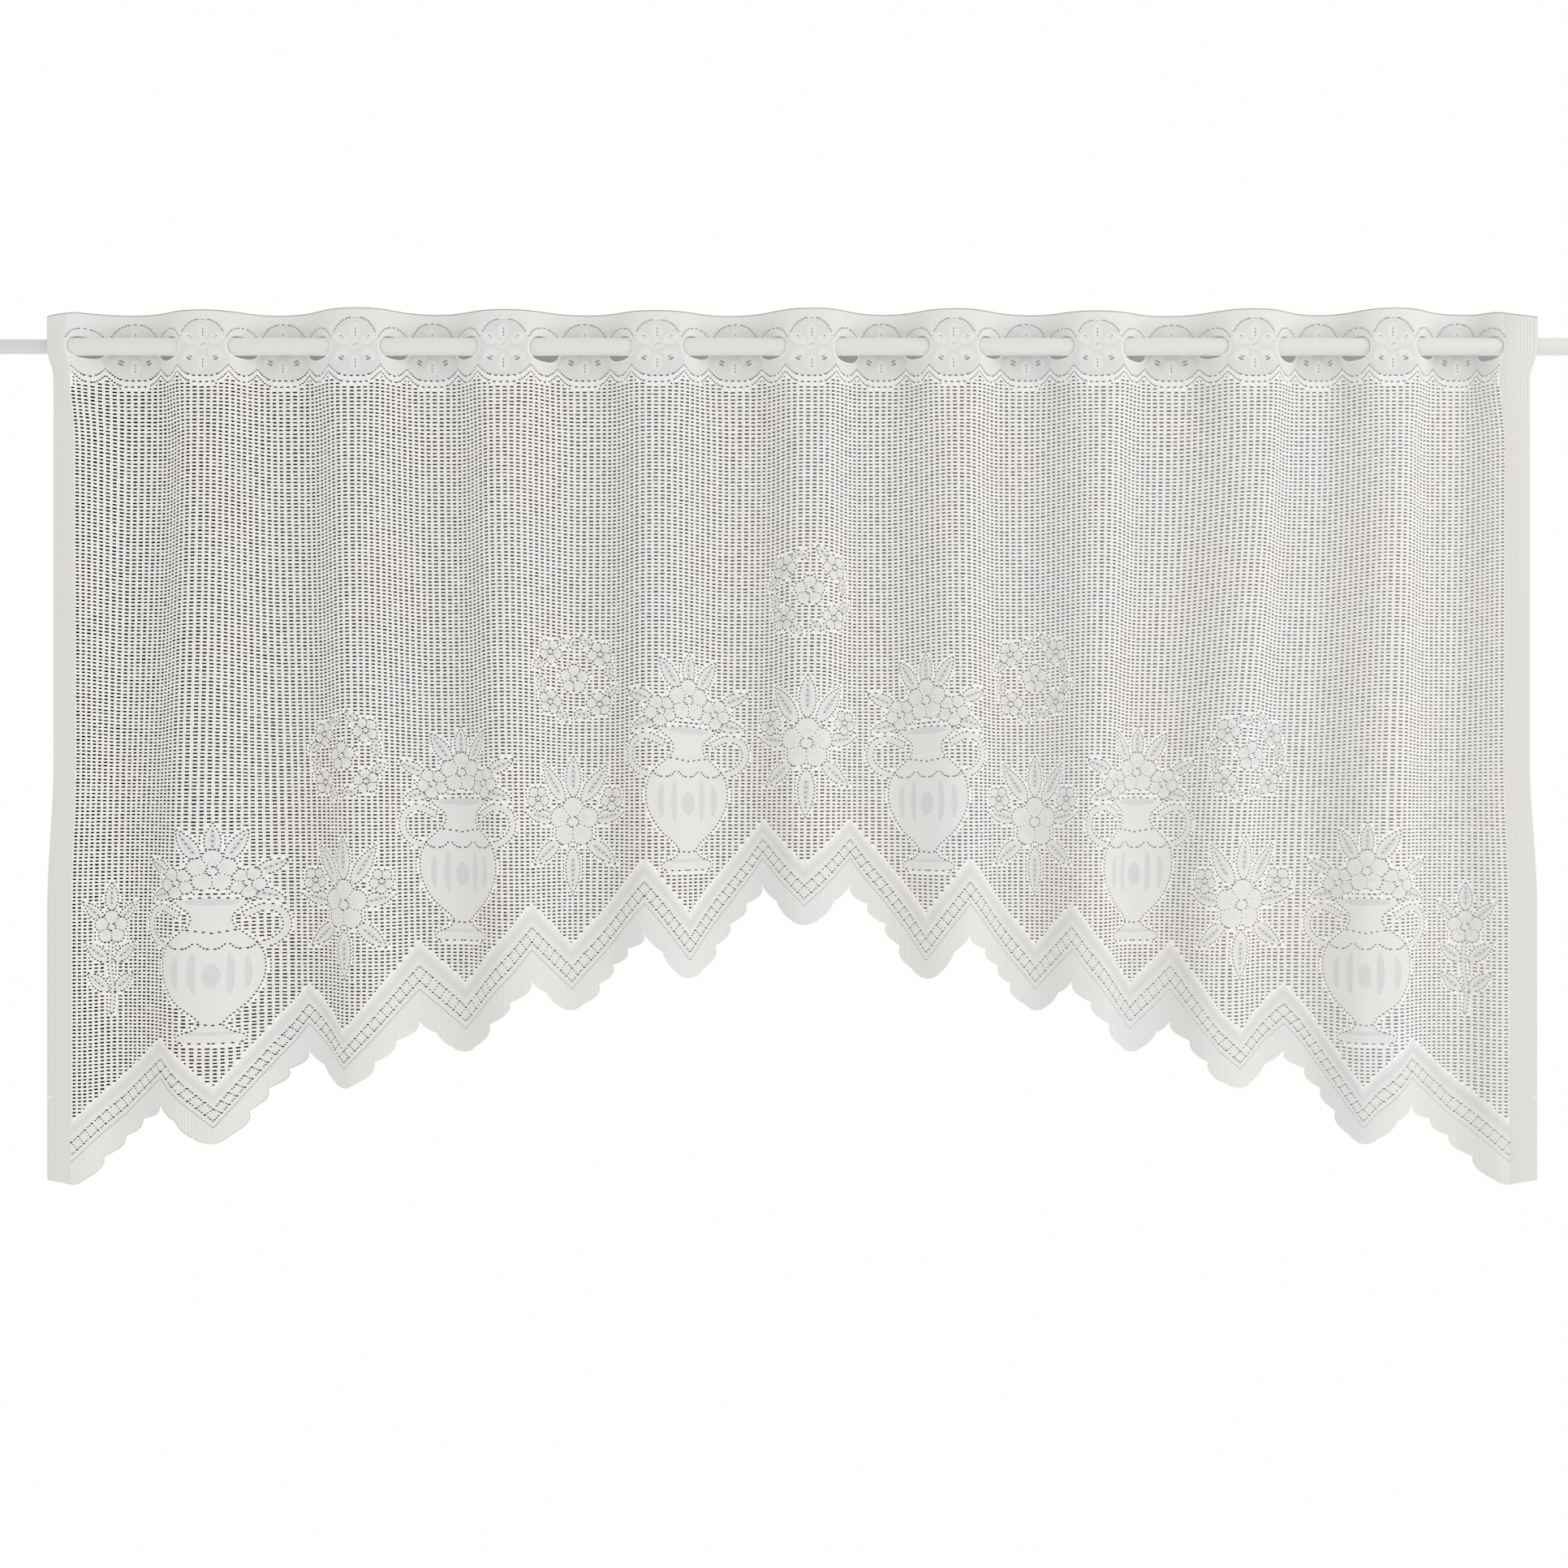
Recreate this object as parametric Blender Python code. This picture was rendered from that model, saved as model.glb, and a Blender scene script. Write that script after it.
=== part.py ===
"""Lace valance curtain woven by its eyelets onto a two-part rod.

Metres, +Z up, +X along the rod to the viewer's right, the room side at -Y.
The origin is on the rod's axis, midway between its two end faces.
"""
import math

import bmesh
import bpy
from mathutils import Vector
from mathutils.geometry import delaunay_2d_cdt

MM = 0.001

# The cloth as it is cut: hem edge to hem edge, and the heading's height above the rod's axis
FLAT_WIDTH = 1500 * MM
HEAD_TOP = 32 * MM
HEAD_FOOT = -32 * MM
SHEET_THICKNESS = 1.2 * MM
NODE_GAP = 0.3 * MM

# Folds: the cloth passes in front of the rod and behind it in turn, once for each flower of the heading
STATION_PITCH = 75 * MM
COLUMNS_PER_STATION = 6
SQUARENESS_AT_ROD = 0.7
SQUARENESS_LOW = 0.35
LEAN_AT_ROD = 0.23
LEAN_LOW = 0.30
FALL_START = -32 * MM
FALL_END = -620 * MM
ROW_PITCH = 92 * MM

# One row for each station from the left hem edge to the right one, in mm:
# place along the rod at the heading, the same near the lower edge, depth at the rod, depth low down
STATIONS = (
    (-682, -686, -10.9, -8),
    (-612, -634, 10.8, 9),
    (-542, -546, -11.2, -15),
    (-475, -464, 11.4, 13),
    (-402, -396, -11.0, -14),
    (-336, -329, 11.2, 15),
    (-266, -258, -11.6, -17),
    (-194, -198, 10.9, 12),
    (-125, -125, -11.2, -13),
    (-54, -58, 11.5, 14),
    (17, 9, -10.9, -12),
    (82, 85, 11.1, 13),
    (147, 152, -11.5, -16),
    (217, 218, 11.2, 12),
    (279, 272, -11.0, -13),
    (352, 335, 11.6, 15),
    (424, 390, -10.8, -12),
    (489, 473, 11.3, 14),
    (550, 536, -11.3, -16),
    (618, 638, 10.8, 10),
    (683, 684, -10.9, -8),
)

# Eyelets: one between each pair of stations, as rounded slots that the rod fills but for a gap below it,
# which is given here for each eyelet from the left, in mm
EYELET_GAPS = (2.5, 4, 3, 4, 3.5, 3, 6, 5, 3, 3, 6.5, 3, 2.5, 3, 5.5, 2.5, 6, 4.5, 3, 5)
EYELET_HALF_WIDTH = 15.5 * MM
EYELET_TOP = 8.9 * MM
EYELET_POINTS = 16
EYELET_SQUARENESS = 2.6

# Lower edge, stepped up to the middle of the curtain. One row for each step outwards, in mm: how far
# its tip lies from the middle, the tip's height before it is rounded, and that of the notch outside it
EDGE_STEPS = (
    (0, -541, -488),
    (117, -592, -531),
    (234, -622, -575),
    (351, -659, -618),
    (468, -692, -648),
    (585, -744, -695),
    (702, -774, None),
)
NOTCH_OUT_OF_TIP = 44 * MM
TIP_RADIUS = 22 * MM
FLANK_BOW = 0.07
CORNER_HEIGHT = -768 * MM
SCALLOP_PITCH = 17 * MM
SCALLOP_DEPTH = 3.2 * MM
SCALLOP_SEGMENTS = 4
TIP_SEGMENTS = 6

# Rod: a thin inner tube that slides into a wider one, both closed at their outer ends
ROD_HALF_LENGTH = 760 * MM
OUTER_RADIUS = 8 * MM
INNER_RADIUS = 6.7 * MM
OUTER_START = -677 * MM
SOCKET_DEPTH = 60 * MM
EDGE_ROUND = 0.8 * MM
ROD_SIDES = 32


def clear_scene():
    """Remove the objects of the start-up scene"""
    for item in list(bpy.data.objects):
        bpy.data.objects.remove(item, do_unlink=True)


def make_material(name, colour, roughness, metallic=0.0):
    """Give a plain material with the piece's colour and gloss"""
    material = bpy.data.materials.new(name)
    material.use_nodes = True
    shader = material.node_tree.nodes["Principled BSDF"]
    shader.inputs["Base Color"].default_value = (*colour, 1.0)
    shader.inputs["Roughness"].default_value = roughness
    shader.inputs["Metallic"].default_value = metallic
    material.diffuse_color = (*colour, 1.0)
    return material


def add_object(name, mesh, material, sharp_angle=40):
    """Put a mesh in the scene as a named piece with smooth rounds"""
    mesh.materials.append(material)
    mesh.shade_smooth()
    mesh.set_sharp_from_angle(angle=math.radians(sharp_angle))
    piece = bpy.data.objects.new(name, mesh)
    bpy.context.scene.collection.objects.link(piece)
    return piece


def smooth_share(value, start, end):
    """Rise smoothly from 0 at start to 1 at end"""
    share = min(max((value - start) / (end - start), 0.0), 1.0)
    return share * share * (3 - 2 * share)


def hang(across, height):
    """Carry a point of the flat cloth, across it and at a height, to where it hangs"""
    spans = len(STATIONS) - 1
    span = min(int(across / STATION_PITCH), spans - 1)
    share = across / STATION_PITCH - span
    fall = smooth_share(height, FALL_START, FALL_END)
    x_rod_0, x_low_0, y_rod_0, y_low_0 = STATIONS[span]
    x_rod_1, x_low_1, y_rod_1, y_low_1 = STATIONS[span + 1]
    x_0 = x_rod_0 + (x_low_0 - x_rod_0) * fall
    x_1 = x_rod_1 + (x_low_1 - x_rod_1) * fall
    y_0 = y_rod_0 + (y_low_0 - y_rod_0) * fall
    y_1 = y_rod_1 + (y_low_1 - y_rod_1) * fall
    lean = LEAN_AT_ROD + (LEAN_LOW - LEAN_AT_ROD) * fall
    progress = share + lean * math.sin(2 * math.pi * share) / (2 * math.pi)
    squareness = SQUARENESS_AT_ROD + (SQUARENESS_LOW - SQUARENESS_AT_ROD) * fall
    wave = math.cos(math.pi * share)
    turn = wave * (1 + squareness * (1 - wave * wave))
    x = x_0 + (x_1 - x_0) * progress
    y = (y_0 + y_1) / 2 + (y_0 - y_1) / 2 * turn
    return Vector((x * MM, y * MM, height))


def rounded_corner(before, corner, after, radius, segments):
    """Give the points of an arc that rounds a corner of the outline"""
    to_before = (before - corner).normalized()
    to_after = (after - corner).normalized()
    half_angle = to_before.angle(to_after) / 2
    reach = radius / math.tan(half_angle)
    centre = corner + (to_before + to_after).normalized() * radius / math.sin(half_angle)
    first = corner + to_before * reach - centre
    last = corner + to_after * reach - centre
    sweep = first.angle_signed(last)
    points = []
    for step in range(segments + 1):
        turn = -sweep * step / segments
        spun = Vector((first.x * math.cos(turn) - first.y * math.sin(turn),
                       first.x * math.sin(turn) + first.y * math.cos(turn)))
        points.append(centre + spun)
    return points


def scalloped_run(start, end):
    """Give the points of a row of small scallops, bowed inwards, from start up to, not with, end"""
    run = end - start
    count = max(round(run.length / SCALLOP_PITCH), 1)
    outward = Vector((run.y, -run.x)).normalized()
    steps = count * SCALLOP_SEGMENTS
    points = []
    for step in range(steps):
        bulge = SCALLOP_DEPTH * math.sin(math.pi * (step % SCALLOP_SEGMENTS) / SCALLOP_SEGMENTS)
        bow = FLANK_BOW * run.length * math.sin(math.pi * step / steps)
        points.append(start + run * step / steps + outward * (bulge - bow))
    return points


def lower_edge():
    """Give the flat outline of the lower edge from its left corner to its right one"""
    middle = FLAT_WIDTH / 2
    half = []
    for out, tip, notch in EDGE_STEPS:
        half.append(("tip", out * MM, tip * MM))
        if notch is not None:
            half.append(("notch", out * MM + NOTCH_OUT_OF_TIP, notch * MM))
    corners = [(kind, Vector((middle - out, z))) for kind, out, z in reversed(half)]
    corners += [(kind, Vector((middle + out, z))) for kind, out, z in half[1:]]
    left = Vector((0.0, CORNER_HEIGHT))
    right = Vector((FLAT_WIDTH, CORNER_HEIGHT))
    places = [left] + [point for kind, point in corners] + [right]
    path = [left]
    previous_end = left
    for index, (kind, point) in enumerate(corners, start=1):
        bend = [point]
        if kind == "tip":
            bend = rounded_corner(places[index - 1], point, places[index + 1], TIP_RADIUS, TIP_SEGMENTS)
        if index > 1:
            path += scalloped_run(previous_end, bend[0])
        path += bend[:-1]
        previous_end = bend[-1]
    path += [previous_end, right]
    return path


def inside(point, outline):
    """Tell whether a flat point lies within a closed outline"""
    within = False
    previous = outline[-1]
    for corner in outline:
        if (corner.y > point.y) != (previous.y > point.y):
            slope = (previous.x - corner.x) / (previous.y - corner.y)
            if point.x < corner.x + (point.y - corner.y) * slope:
                within = not within
        previous = corner
    return within


def hung_sheet(name, outline, holes, low, rows, material):
    """Cut a flat sheet along its outline and holes, hang it in its folds and give it thickness"""
    points = []
    edges = []
    for loop in [outline] + holes:
        first = len(points)
        points += loop
        edges += [(first + step, first + (step + 1) % len(loop)) for step in range(len(loop))]
    columns = (len(STATIONS) - 1) * COLUMNS_PER_STATION
    top = max(point.y for point in outline)
    for column in range(1, columns):
        across = STATION_PITCH * column / COLUMNS_PER_STATION
        first = len(points)
        points += [Vector((across, top + (low - top) * row / rows)) for row in range(rows + 1)]
        edges += [(first + row, first + row + 1) for row in range(rows)]
    flat, _, triangles, *_ = delaunay_2d_cdt(points, edges, [], 0, 1e-7)
    mesh = bpy.data.meshes.new(name)
    sheet = bmesh.new()
    corners = {}
    for triangle in triangles:
        centre = sum((flat[index] for index in triangle), Vector((0.0, 0.0))) / 3
        if not inside(centre, outline) or any(inside(centre, hole) for hole in holes):
            continue
        for index in triangle:
            if index not in corners:
                corners[index] = sheet.verts.new(hang(flat[index].x, flat[index].y))
        sheet.faces.new([corners[index] for index in triangle])
    bmesh.ops.recalc_face_normals(sheet, faces=sheet.faces[:])
    sheet.to_mesh(mesh)
    sheet.free()
    piece = add_object(name, mesh, material, sharp_angle=60)
    solidify = piece.modifiers.new("thickness", "SOLIDIFY")
    solidify.thickness = SHEET_THICKNESS
    solidify.offset = 0.0
    return piece


def eyelet(across, gap):
    """Give the rounded slot of one eyelet, centred across the cloth, with its gap below the rod"""
    foot = -OUTER_RADIUS - gap * MM
    middle = (EYELET_TOP + foot) / 2
    half_height = (EYELET_TOP - foot) / 2
    power = 2 / EYELET_SQUARENESS
    loop = []
    for step in range(EYELET_POINTS):
        turn = 2 * math.pi * (step + 0.5) / EYELET_POINTS
        side = math.copysign(abs(math.cos(turn)) ** power, math.cos(turn))
        rise = math.copysign(abs(math.sin(turn)) ** power, math.sin(turn))
        loop.append(Vector((across + EYELET_HALF_WIDTH * side, middle + half_height * rise)))
    return loop


def build_heading(material):
    """Make the band with the eyelets that is woven round the rod"""
    outline = [
        Vector((0.0, HEAD_FOOT)),
        Vector((FLAT_WIDTH, HEAD_FOOT)),
        Vector((FLAT_WIDTH, HEAD_TOP)),
        Vector((0.0, HEAD_TOP)),
    ]
    eyelets = [eyelet(STATION_PITCH * (span + 0.5), gap) for span, gap in enumerate(EYELET_GAPS)]
    return hung_sheet("heading_strip", outline, eyelets, HEAD_FOOT, 1, material)


def build_cloth(material):
    """Make the lace below the heading, with its hems and its scalloped lower edge"""
    top = HEAD_FOOT - NODE_GAP
    outline = lower_edge() + [Vector((FLAT_WIDTH, top)), Vector((0.0, top))]
    low = min(point.y for point in outline)
    rows = round((top - low) / ROW_PITCH)
    return hung_sheet("curtain_cloth", outline, [], low, rows, material)


def turned_rod(name, profile, material):
    """Turn a profile of places along the rod and radii into a solid on the rod's axis"""
    mesh = bpy.data.meshes.new(name)
    shape = bmesh.new()
    corners = [shape.verts.new((along, 0.0, radius)) for along, radius in profile]
    for first, second in zip(corners, corners[1:]):
        shape.edges.new((first, second))
    bmesh.ops.spin(shape, geom=shape.verts[:] + shape.edges[:], cent=(0, 0, 0), axis=(1, 0, 0),
                   angle=2 * math.pi, steps=ROD_SIDES, use_duplicate=False)
    bmesh.ops.remove_doubles(shape, verts=shape.verts[:], dist=1e-6)
    bmesh.ops.recalc_face_normals(shape, faces=shape.faces[:])
    shape.to_mesh(mesh)
    shape.free()
    return add_object(name, mesh, material, sharp_angle=35)


def build_rod(material):
    """Make the outer tube with its socket and the inner tube that slides in it"""
    start = OUTER_START
    bore = INNER_RADIUS + NODE_GAP
    socket_end = start + SOCKET_DEPTH
    inner_end = socket_end - NODE_GAP
    end = ROD_HALF_LENGTH
    outer = [
        (socket_end, 0.0),
        (socket_end, bore),
        (start, bore),
        (start, OUTER_RADIUS - EDGE_ROUND / 2),
        (start + EDGE_ROUND / 2, OUTER_RADIUS),
        (end - EDGE_ROUND, OUTER_RADIUS),
        (end, OUTER_RADIUS - EDGE_ROUND),
        (end, 0.0),
    ]
    inner = [
        (-end, 0.0),
        (-end, INNER_RADIUS - EDGE_ROUND),
        (-end + EDGE_ROUND, INNER_RADIUS),
        (inner_end, INNER_RADIUS),
        (inner_end, 0.0),
    ]
    turned_rod("rod_outer", outer, material)
    turned_rod("rod_inner", inner, material)


def main():
    """Build the curtain and its rod"""
    clear_scene()
    lace = make_material("white_lace", (0.82, 0.82, 0.80), 0.85)
    enamel = make_material("white_enamel", (0.86, 0.86, 0.85), 0.35)
    build_heading(lace)
    build_cloth(lace)
    build_rod(enamel)


main()
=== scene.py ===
"""Lace valance on its rod: open net with knitted motifs, a dotted border, side hems and an eyelet heading.

The cloth is drawn flat, in mm: across from the left hem edge, and up from the rod's axis. Holes are real
openings in the mesh. Every flat point is then carried to the same folds as the solid it stands for.
"""
import math

import bpy
import numpy as np
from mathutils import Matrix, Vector
from mathutils.geometry import delaunay_2d_cdt
from mathutils.kdtree import KDTree


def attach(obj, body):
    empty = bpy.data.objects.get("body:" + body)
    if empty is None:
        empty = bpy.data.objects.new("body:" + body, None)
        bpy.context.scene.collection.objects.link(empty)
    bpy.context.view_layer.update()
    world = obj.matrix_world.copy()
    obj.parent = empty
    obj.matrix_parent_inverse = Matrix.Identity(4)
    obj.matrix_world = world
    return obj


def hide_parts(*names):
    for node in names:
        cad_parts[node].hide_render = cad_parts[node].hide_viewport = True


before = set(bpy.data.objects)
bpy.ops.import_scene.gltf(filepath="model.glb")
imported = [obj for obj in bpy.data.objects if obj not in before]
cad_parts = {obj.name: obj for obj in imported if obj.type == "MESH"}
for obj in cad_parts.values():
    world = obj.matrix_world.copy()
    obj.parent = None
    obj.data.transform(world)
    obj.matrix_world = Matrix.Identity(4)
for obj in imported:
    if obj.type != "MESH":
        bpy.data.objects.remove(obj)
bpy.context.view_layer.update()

MM = 0.001

# The cloth as it is cut, in mm
FLAT_WIDTH = 1500.0
HEAD_TOP = 32.0
HEAD_FOOT = -38.0
HEM_WIDTH = 21.0

# Folds, one row for each station from the left hem edge to the right one, in mm:
# place along the rod at the heading, the same near the lower edge, depth at the rod, depth low down
STATION_PITCH = 75.0
STATIONS = np.array((
    (-685, -686, -10.9, -8),
    (-612, -620, 10.8, 9),
    (-542, -550, -11.2, -15),
    (-475, -464, 11.4, 13),
    (-402, -396, -11.0, -14),
    (-336, -329, 11.2, 15),
    (-266, -258, -11.6, -17),
    (-194, -198, 10.9, 12),
    (-125, -125, -11.2, -13),
    (-54, -58, 11.5, 14),
    (17, 9, -10.9, -12),
    (82, 85, 11.1, 13),
    (147, 152, -11.5, -16),
    (217, 218, 11.2, 12),
    (279, 272, -11.0, -13),
    (352, 335, 11.6, 15),
    (424, 390, -10.8, -12),
    (489, 473, 11.3, 14),
    (550, 535, -11.3, -16),
    (618, 609, 10.8, 10),
    (683, 684, -10.9, -8),
), dtype=float)
SQUARENESS_AT_ROD = 0.7
SQUARENESS_LOW = 0.35
LEAN_AT_ROD = 0.23
LEAN_LOW = 0.10
FALL_START = -32.0
FALL_END = -620.0
MIDDLE_SPAN = 10

# Below the heading the folds lean: spans that face away from the camera turn close to their front station
TURN_START, TURN_END = -30.0, -90.0
BACK_SPAN_POWER = 1.5
BACK_SPAN_SQUARENESS = 0.5
FRONT_SPAN_SQUARENESS = -0.1
FRONT_SPAN_LEAN = 0.1

# Small departures from a plain hang, in mm
TOP_WAVE_START = 12.0
CORNER_DROOP, CORNER_REACH = 6.0, 30.0
WAIST_LEFT, WAIST_RIGHT = 6.0, 7.0
SAG_SHARE = 0.2
GATHER_LEFT = (7.0, 1.5, -2.5)
GATHER_RIGHT = (-9.0, -4.8, -3.5)
SIDE_SKEW = 0.38

# Eyelets, one between each pair of stations: the gap below the rod for each, from the left, in mm
EYELET_GAPS = (2.5, 4, 3, 4, 3.5, 3, 6, 5, 3, 3, 6.5, 3, 2.5, 3, 5.5, 2.5, 6, 4.5, 3, 5)
EYELET_HALF_WIDTH = 15.5
EYELET_TOP = 8.9
EYELET_POINTS = 24
EYELET_SQUARENESS = 2.6
EYELET_RIM = 1.7
ROD_RADIUS = 8.0

# Lower edge, one row for each step outwards from the middle, in mm: how far its tip lies from the middle,
# the height of the tip and of the notch outside it, and the heights where the net ends above both
EDGE_STEPS = (
    (0, -541, -498, -479, -438),
    (117, -595, -541, -526, -474),
    (234, -622, -585, -556, -515),
    (351, -660, -625, -592, -552),
    (468, -690, -652, -633, -591),
    (585, -743, -700, -685, -640),
    (722, -774, None, None, None),
)
NOTCH_OUT_OF_TIP = 44.0
TIP_RADIUS = 19.0
FLANK_BOW = 0.04
CORNER_HEIGHT = -768.0
SCALLOP_PITCH = 25.0
SCALLOP_DEPTH = 5.2
SHORT_RUN_DEPTH = 2.0
SCALLOP_SKEW = 0.6
SCALLOP_SEGMENTS = 8
TIP_SEGMENTS = 10
NET_END_AT_HEM = -716.0
BORDER_END_AT_HEM = -776.0

# Open net: one cell and its rounded hole, in mm
NET_COLUMNS = 256
CELL_WIDTH = (FLAT_WIDTH - 2 * HEM_WIDTH) / NET_COLUMNS
CELL_HEIGHT = 3.3
HOLE_WIDTH = 3.5
HOLE_HEIGHT = 1.57
HOLE_UNEVENNESS = 0.09
RIM_SET_BACK = 0.3
DOT_CLEARANCE = 1.15
LONGEST_SIDE = 3.5
HEM_COLUMNS = 4
HEM_ROWS_ALONE = 198
SEED = 7

# Tones of the knitting, as material slots of the cloth; the last two are dark strips of painted shade along the lower
# and top edges
NET, DENSE, MEDIUM, HEM, RIBBED, STRIPE, FIELD, RIM, LOWER_EDGE_SHADE, TOP_EDGE_SHADE = range(10)


def smooth_share(value, start, end):
    """Rise smoothly from 0 at start to 1 at end"""
    share = np.clip((value - start) / (end - start), 0.0, 1.0)
    return share * share * (3 - 2 * share)


def hang(across, height):
    """Give the places where flat points hang: along the rod, deep, and high, in mm"""
    span = np.clip((across / STATION_PITCH).astype(int), 0, len(STATIONS) - 2)
    share = across / STATION_PITCH - span
    fall = smooth_share(height, FALL_START, FALL_END)
    below = smooth_share(height, TURN_START, TURN_END)
    rise = smooth_share(height, TOP_WAVE_START, HEAD_TOP - 6)
    first, second = STATIONS[span], STATIONS[span + 1]
    x_0 = first[:, 0] + (first[:, 1] - first[:, 0]) * fall
    x_1 = second[:, 0] + (second[:, 1] - second[:, 0]) * fall
    y_0 = first[:, 2] + (first[:, 3] - first[:, 2]) * fall
    y_1 = second[:, 2] + (second[:, 3] - second[:, 2]) * fall
    waist = smooth_share(height, -4.0, -32.0) * smooth_share(height, -520.0, -380.0)
    x_0 = x_0 + WAIST_LEFT * waist * (span == 0)
    x_1 = x_1 - WAIST_RIGHT * waist * (span == len(STATIONS) - 2)

    on_left = span < MIDDLE_SPAN
    turned_away = (span % 2 == 1) == on_left
    outermost = (span == 0) | (span == len(STATIONS) - 2)
    phase = np.where(on_left, share ** BACK_SPAN_POWER, 1 - (1 - share) ** BACK_SPAN_POWER)
    phase = share + (phase - share) * below * (turned_away | outermost)
    lean = LEAN_AT_ROD + (LEAN_LOW - LEAN_AT_ROD) * fall
    lean = np.where(turned_away, lean, lean + (FRONT_SPAN_LEAN - lean) * below)
    squareness = SQUARENESS_AT_ROD + (SQUARENESS_LOW - SQUARENESS_AT_ROD) * fall
    low_squareness = np.where(turned_away, BACK_SPAN_SQUARENESS, FRONT_SPAN_SQUARENESS)
    low_squareness = low_squareness + (SQUARENESS_LOW - low_squareness) * smooth_share(height, -350.0, -600.0)
    squareness = squareness + (low_squareness - squareness) * below
    squareness = squareness * (1 - rise)

    progress = share + lean * np.sin(2 * np.pi * share) / (2 * np.pi)
    second_last = (span == 1) | (span == len(STATIONS) - 3)
    progress += SIDE_SKEW * fall * second_last * share * (1 - share) * np.where(on_left, -1, 1)
    from_edge = np.where(on_left, share, 1 - share)
    upper, under, low = (np.where(on_left, *pair) for pair in zip(GATHER_LEFT, GATHER_RIGHT))
    gather = upper + (under - upper) * below + (low - under) * fall
    gather = gather * outermost * from_edge * (1 - from_edge) ** 2 * 27 / 4
    wave = np.cos(np.pi * phase)
    turn = wave * (1 + squareness * (1 - wave * wave))
    x = x_0 + (x_1 - x_0) * progress + np.where(on_left, -gather, gather)
    y = (y_0 + y_1) / 2 + (y_0 - y_1) / 2 * turn
    edge = np.minimum(across, FLAT_WIDTH - across)
    droop = CORNER_DROOP * np.clip(1 - edge / CORNER_REACH, 0, 1) ** 1.2 * smooth_share(height, 0.0, HEAD_TOP)
    sag = SAG_SHARE * (y + 11.0) * smooth_share(height, -36.0, -110.0) * smooth_share(height, -450.0, -300.0)
    unevenness = 0.9 * np.sin(across * 0.0127 + 0.6) + 0.6 * np.sin(across * 0.0291 + 2.0)
    return x, y, height - droop - sag - unevenness * rise


def hung_points(flat, back):
    """Carry flat points to their folds, each set back from the sheet's face by its own amount, in metres"""
    across, height = flat[:, 0], flat[:, 1]
    x, y, z = hang(across, height)
    x_left, y_left, _ = hang(np.maximum(across - 0.5, 0.0), height)
    x_right, y_right, _ = hang(np.minimum(across + 0.5, FLAT_WIDTH), height)
    run_x, run_y = x_right - x_left, y_right - y_left
    length = np.hypot(run_x, run_y)
    x = x - run_y / length * back
    y = y + run_x / length * back
    return np.column_stack((x, y, z)) * MM


def inside(points, outline):
    """Tell which points lie within a closed outline"""
    points = np.asarray(points, dtype=float)
    outline = np.asarray(outline, dtype=float)
    within = np.zeros(len(points), dtype=bool)
    previous = outline[-1]
    for corner in outline:
        if corner[1] != previous[1]:
            crosses = (corner[1] > points[:, 1]) != (previous[1] > points[:, 1])
            slope = (previous[0] - corner[0]) / (previous[1] - corner[1])
            within ^= crosses & (points[:, 0] < corner[0] + (points[:, 1] - corner[1]) * slope)
        previous = corner
    return within


def walked(path, pitch, closed=True):
    """Give points every pitch along a path, with the path's direction at each"""
    path = np.asarray(path, dtype=float)
    if closed:
        path = np.vstack((path, path[:1]))
    steps = np.diff(path, axis=0)
    lengths = np.hypot(steps[:, 0], steps[:, 1])
    ends = np.cumsum(lengths)
    count = max(round(ends[-1] / pitch), 1)
    places = (np.arange(count) + 0.5) * ends[-1] / count
    index = np.minimum(np.searchsorted(ends, places), len(steps) - 1)
    share = (places - ends[index] + lengths[index]) / lengths[index]
    return path[index] + steps[index] * share[:, None], steps[index] / lengths[index][:, None]


def smooth(corners, closed=False, steps=5):
    """Draw a smooth curve through corners, with some steps between each two"""
    corners = np.asarray(corners, dtype=float)
    if closed:
        run = np.vstack((corners[-1:], corners, corners[:2]))
    else:
        run = np.vstack((2 * corners[:1] - corners[1:2], corners, 2 * corners[-1:] - corners[-2:-1]))
    points = []
    for before, start, end, after in zip(run, run[1:], run[2:], run[3:]):
        for step in range(steps):
            t = step / steps
            points.append(0.5 * (2 * start + (end - before) * t
                                 + (2 * before - 5 * start + 4 * end - after) * t * t
                                 + (3 * start - before - 3 * end + after) * t ** 3))
    if not closed:
        points.append(corners[-1])
    return np.array(points)


def oval(x, z, half_width, half_height, turn=0.0, points=6):
    """Give the outline of an oval, turned by some degrees"""
    angle = np.arange(points) * 2 * math.pi / points
    along, up = half_width * np.cos(angle), half_height * np.sin(angle)
    c, s = math.cos(math.radians(turn)), math.sin(math.radians(turn))
    return np.column_stack((x + along * c - up * s, z + along * s + up * c))


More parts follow.
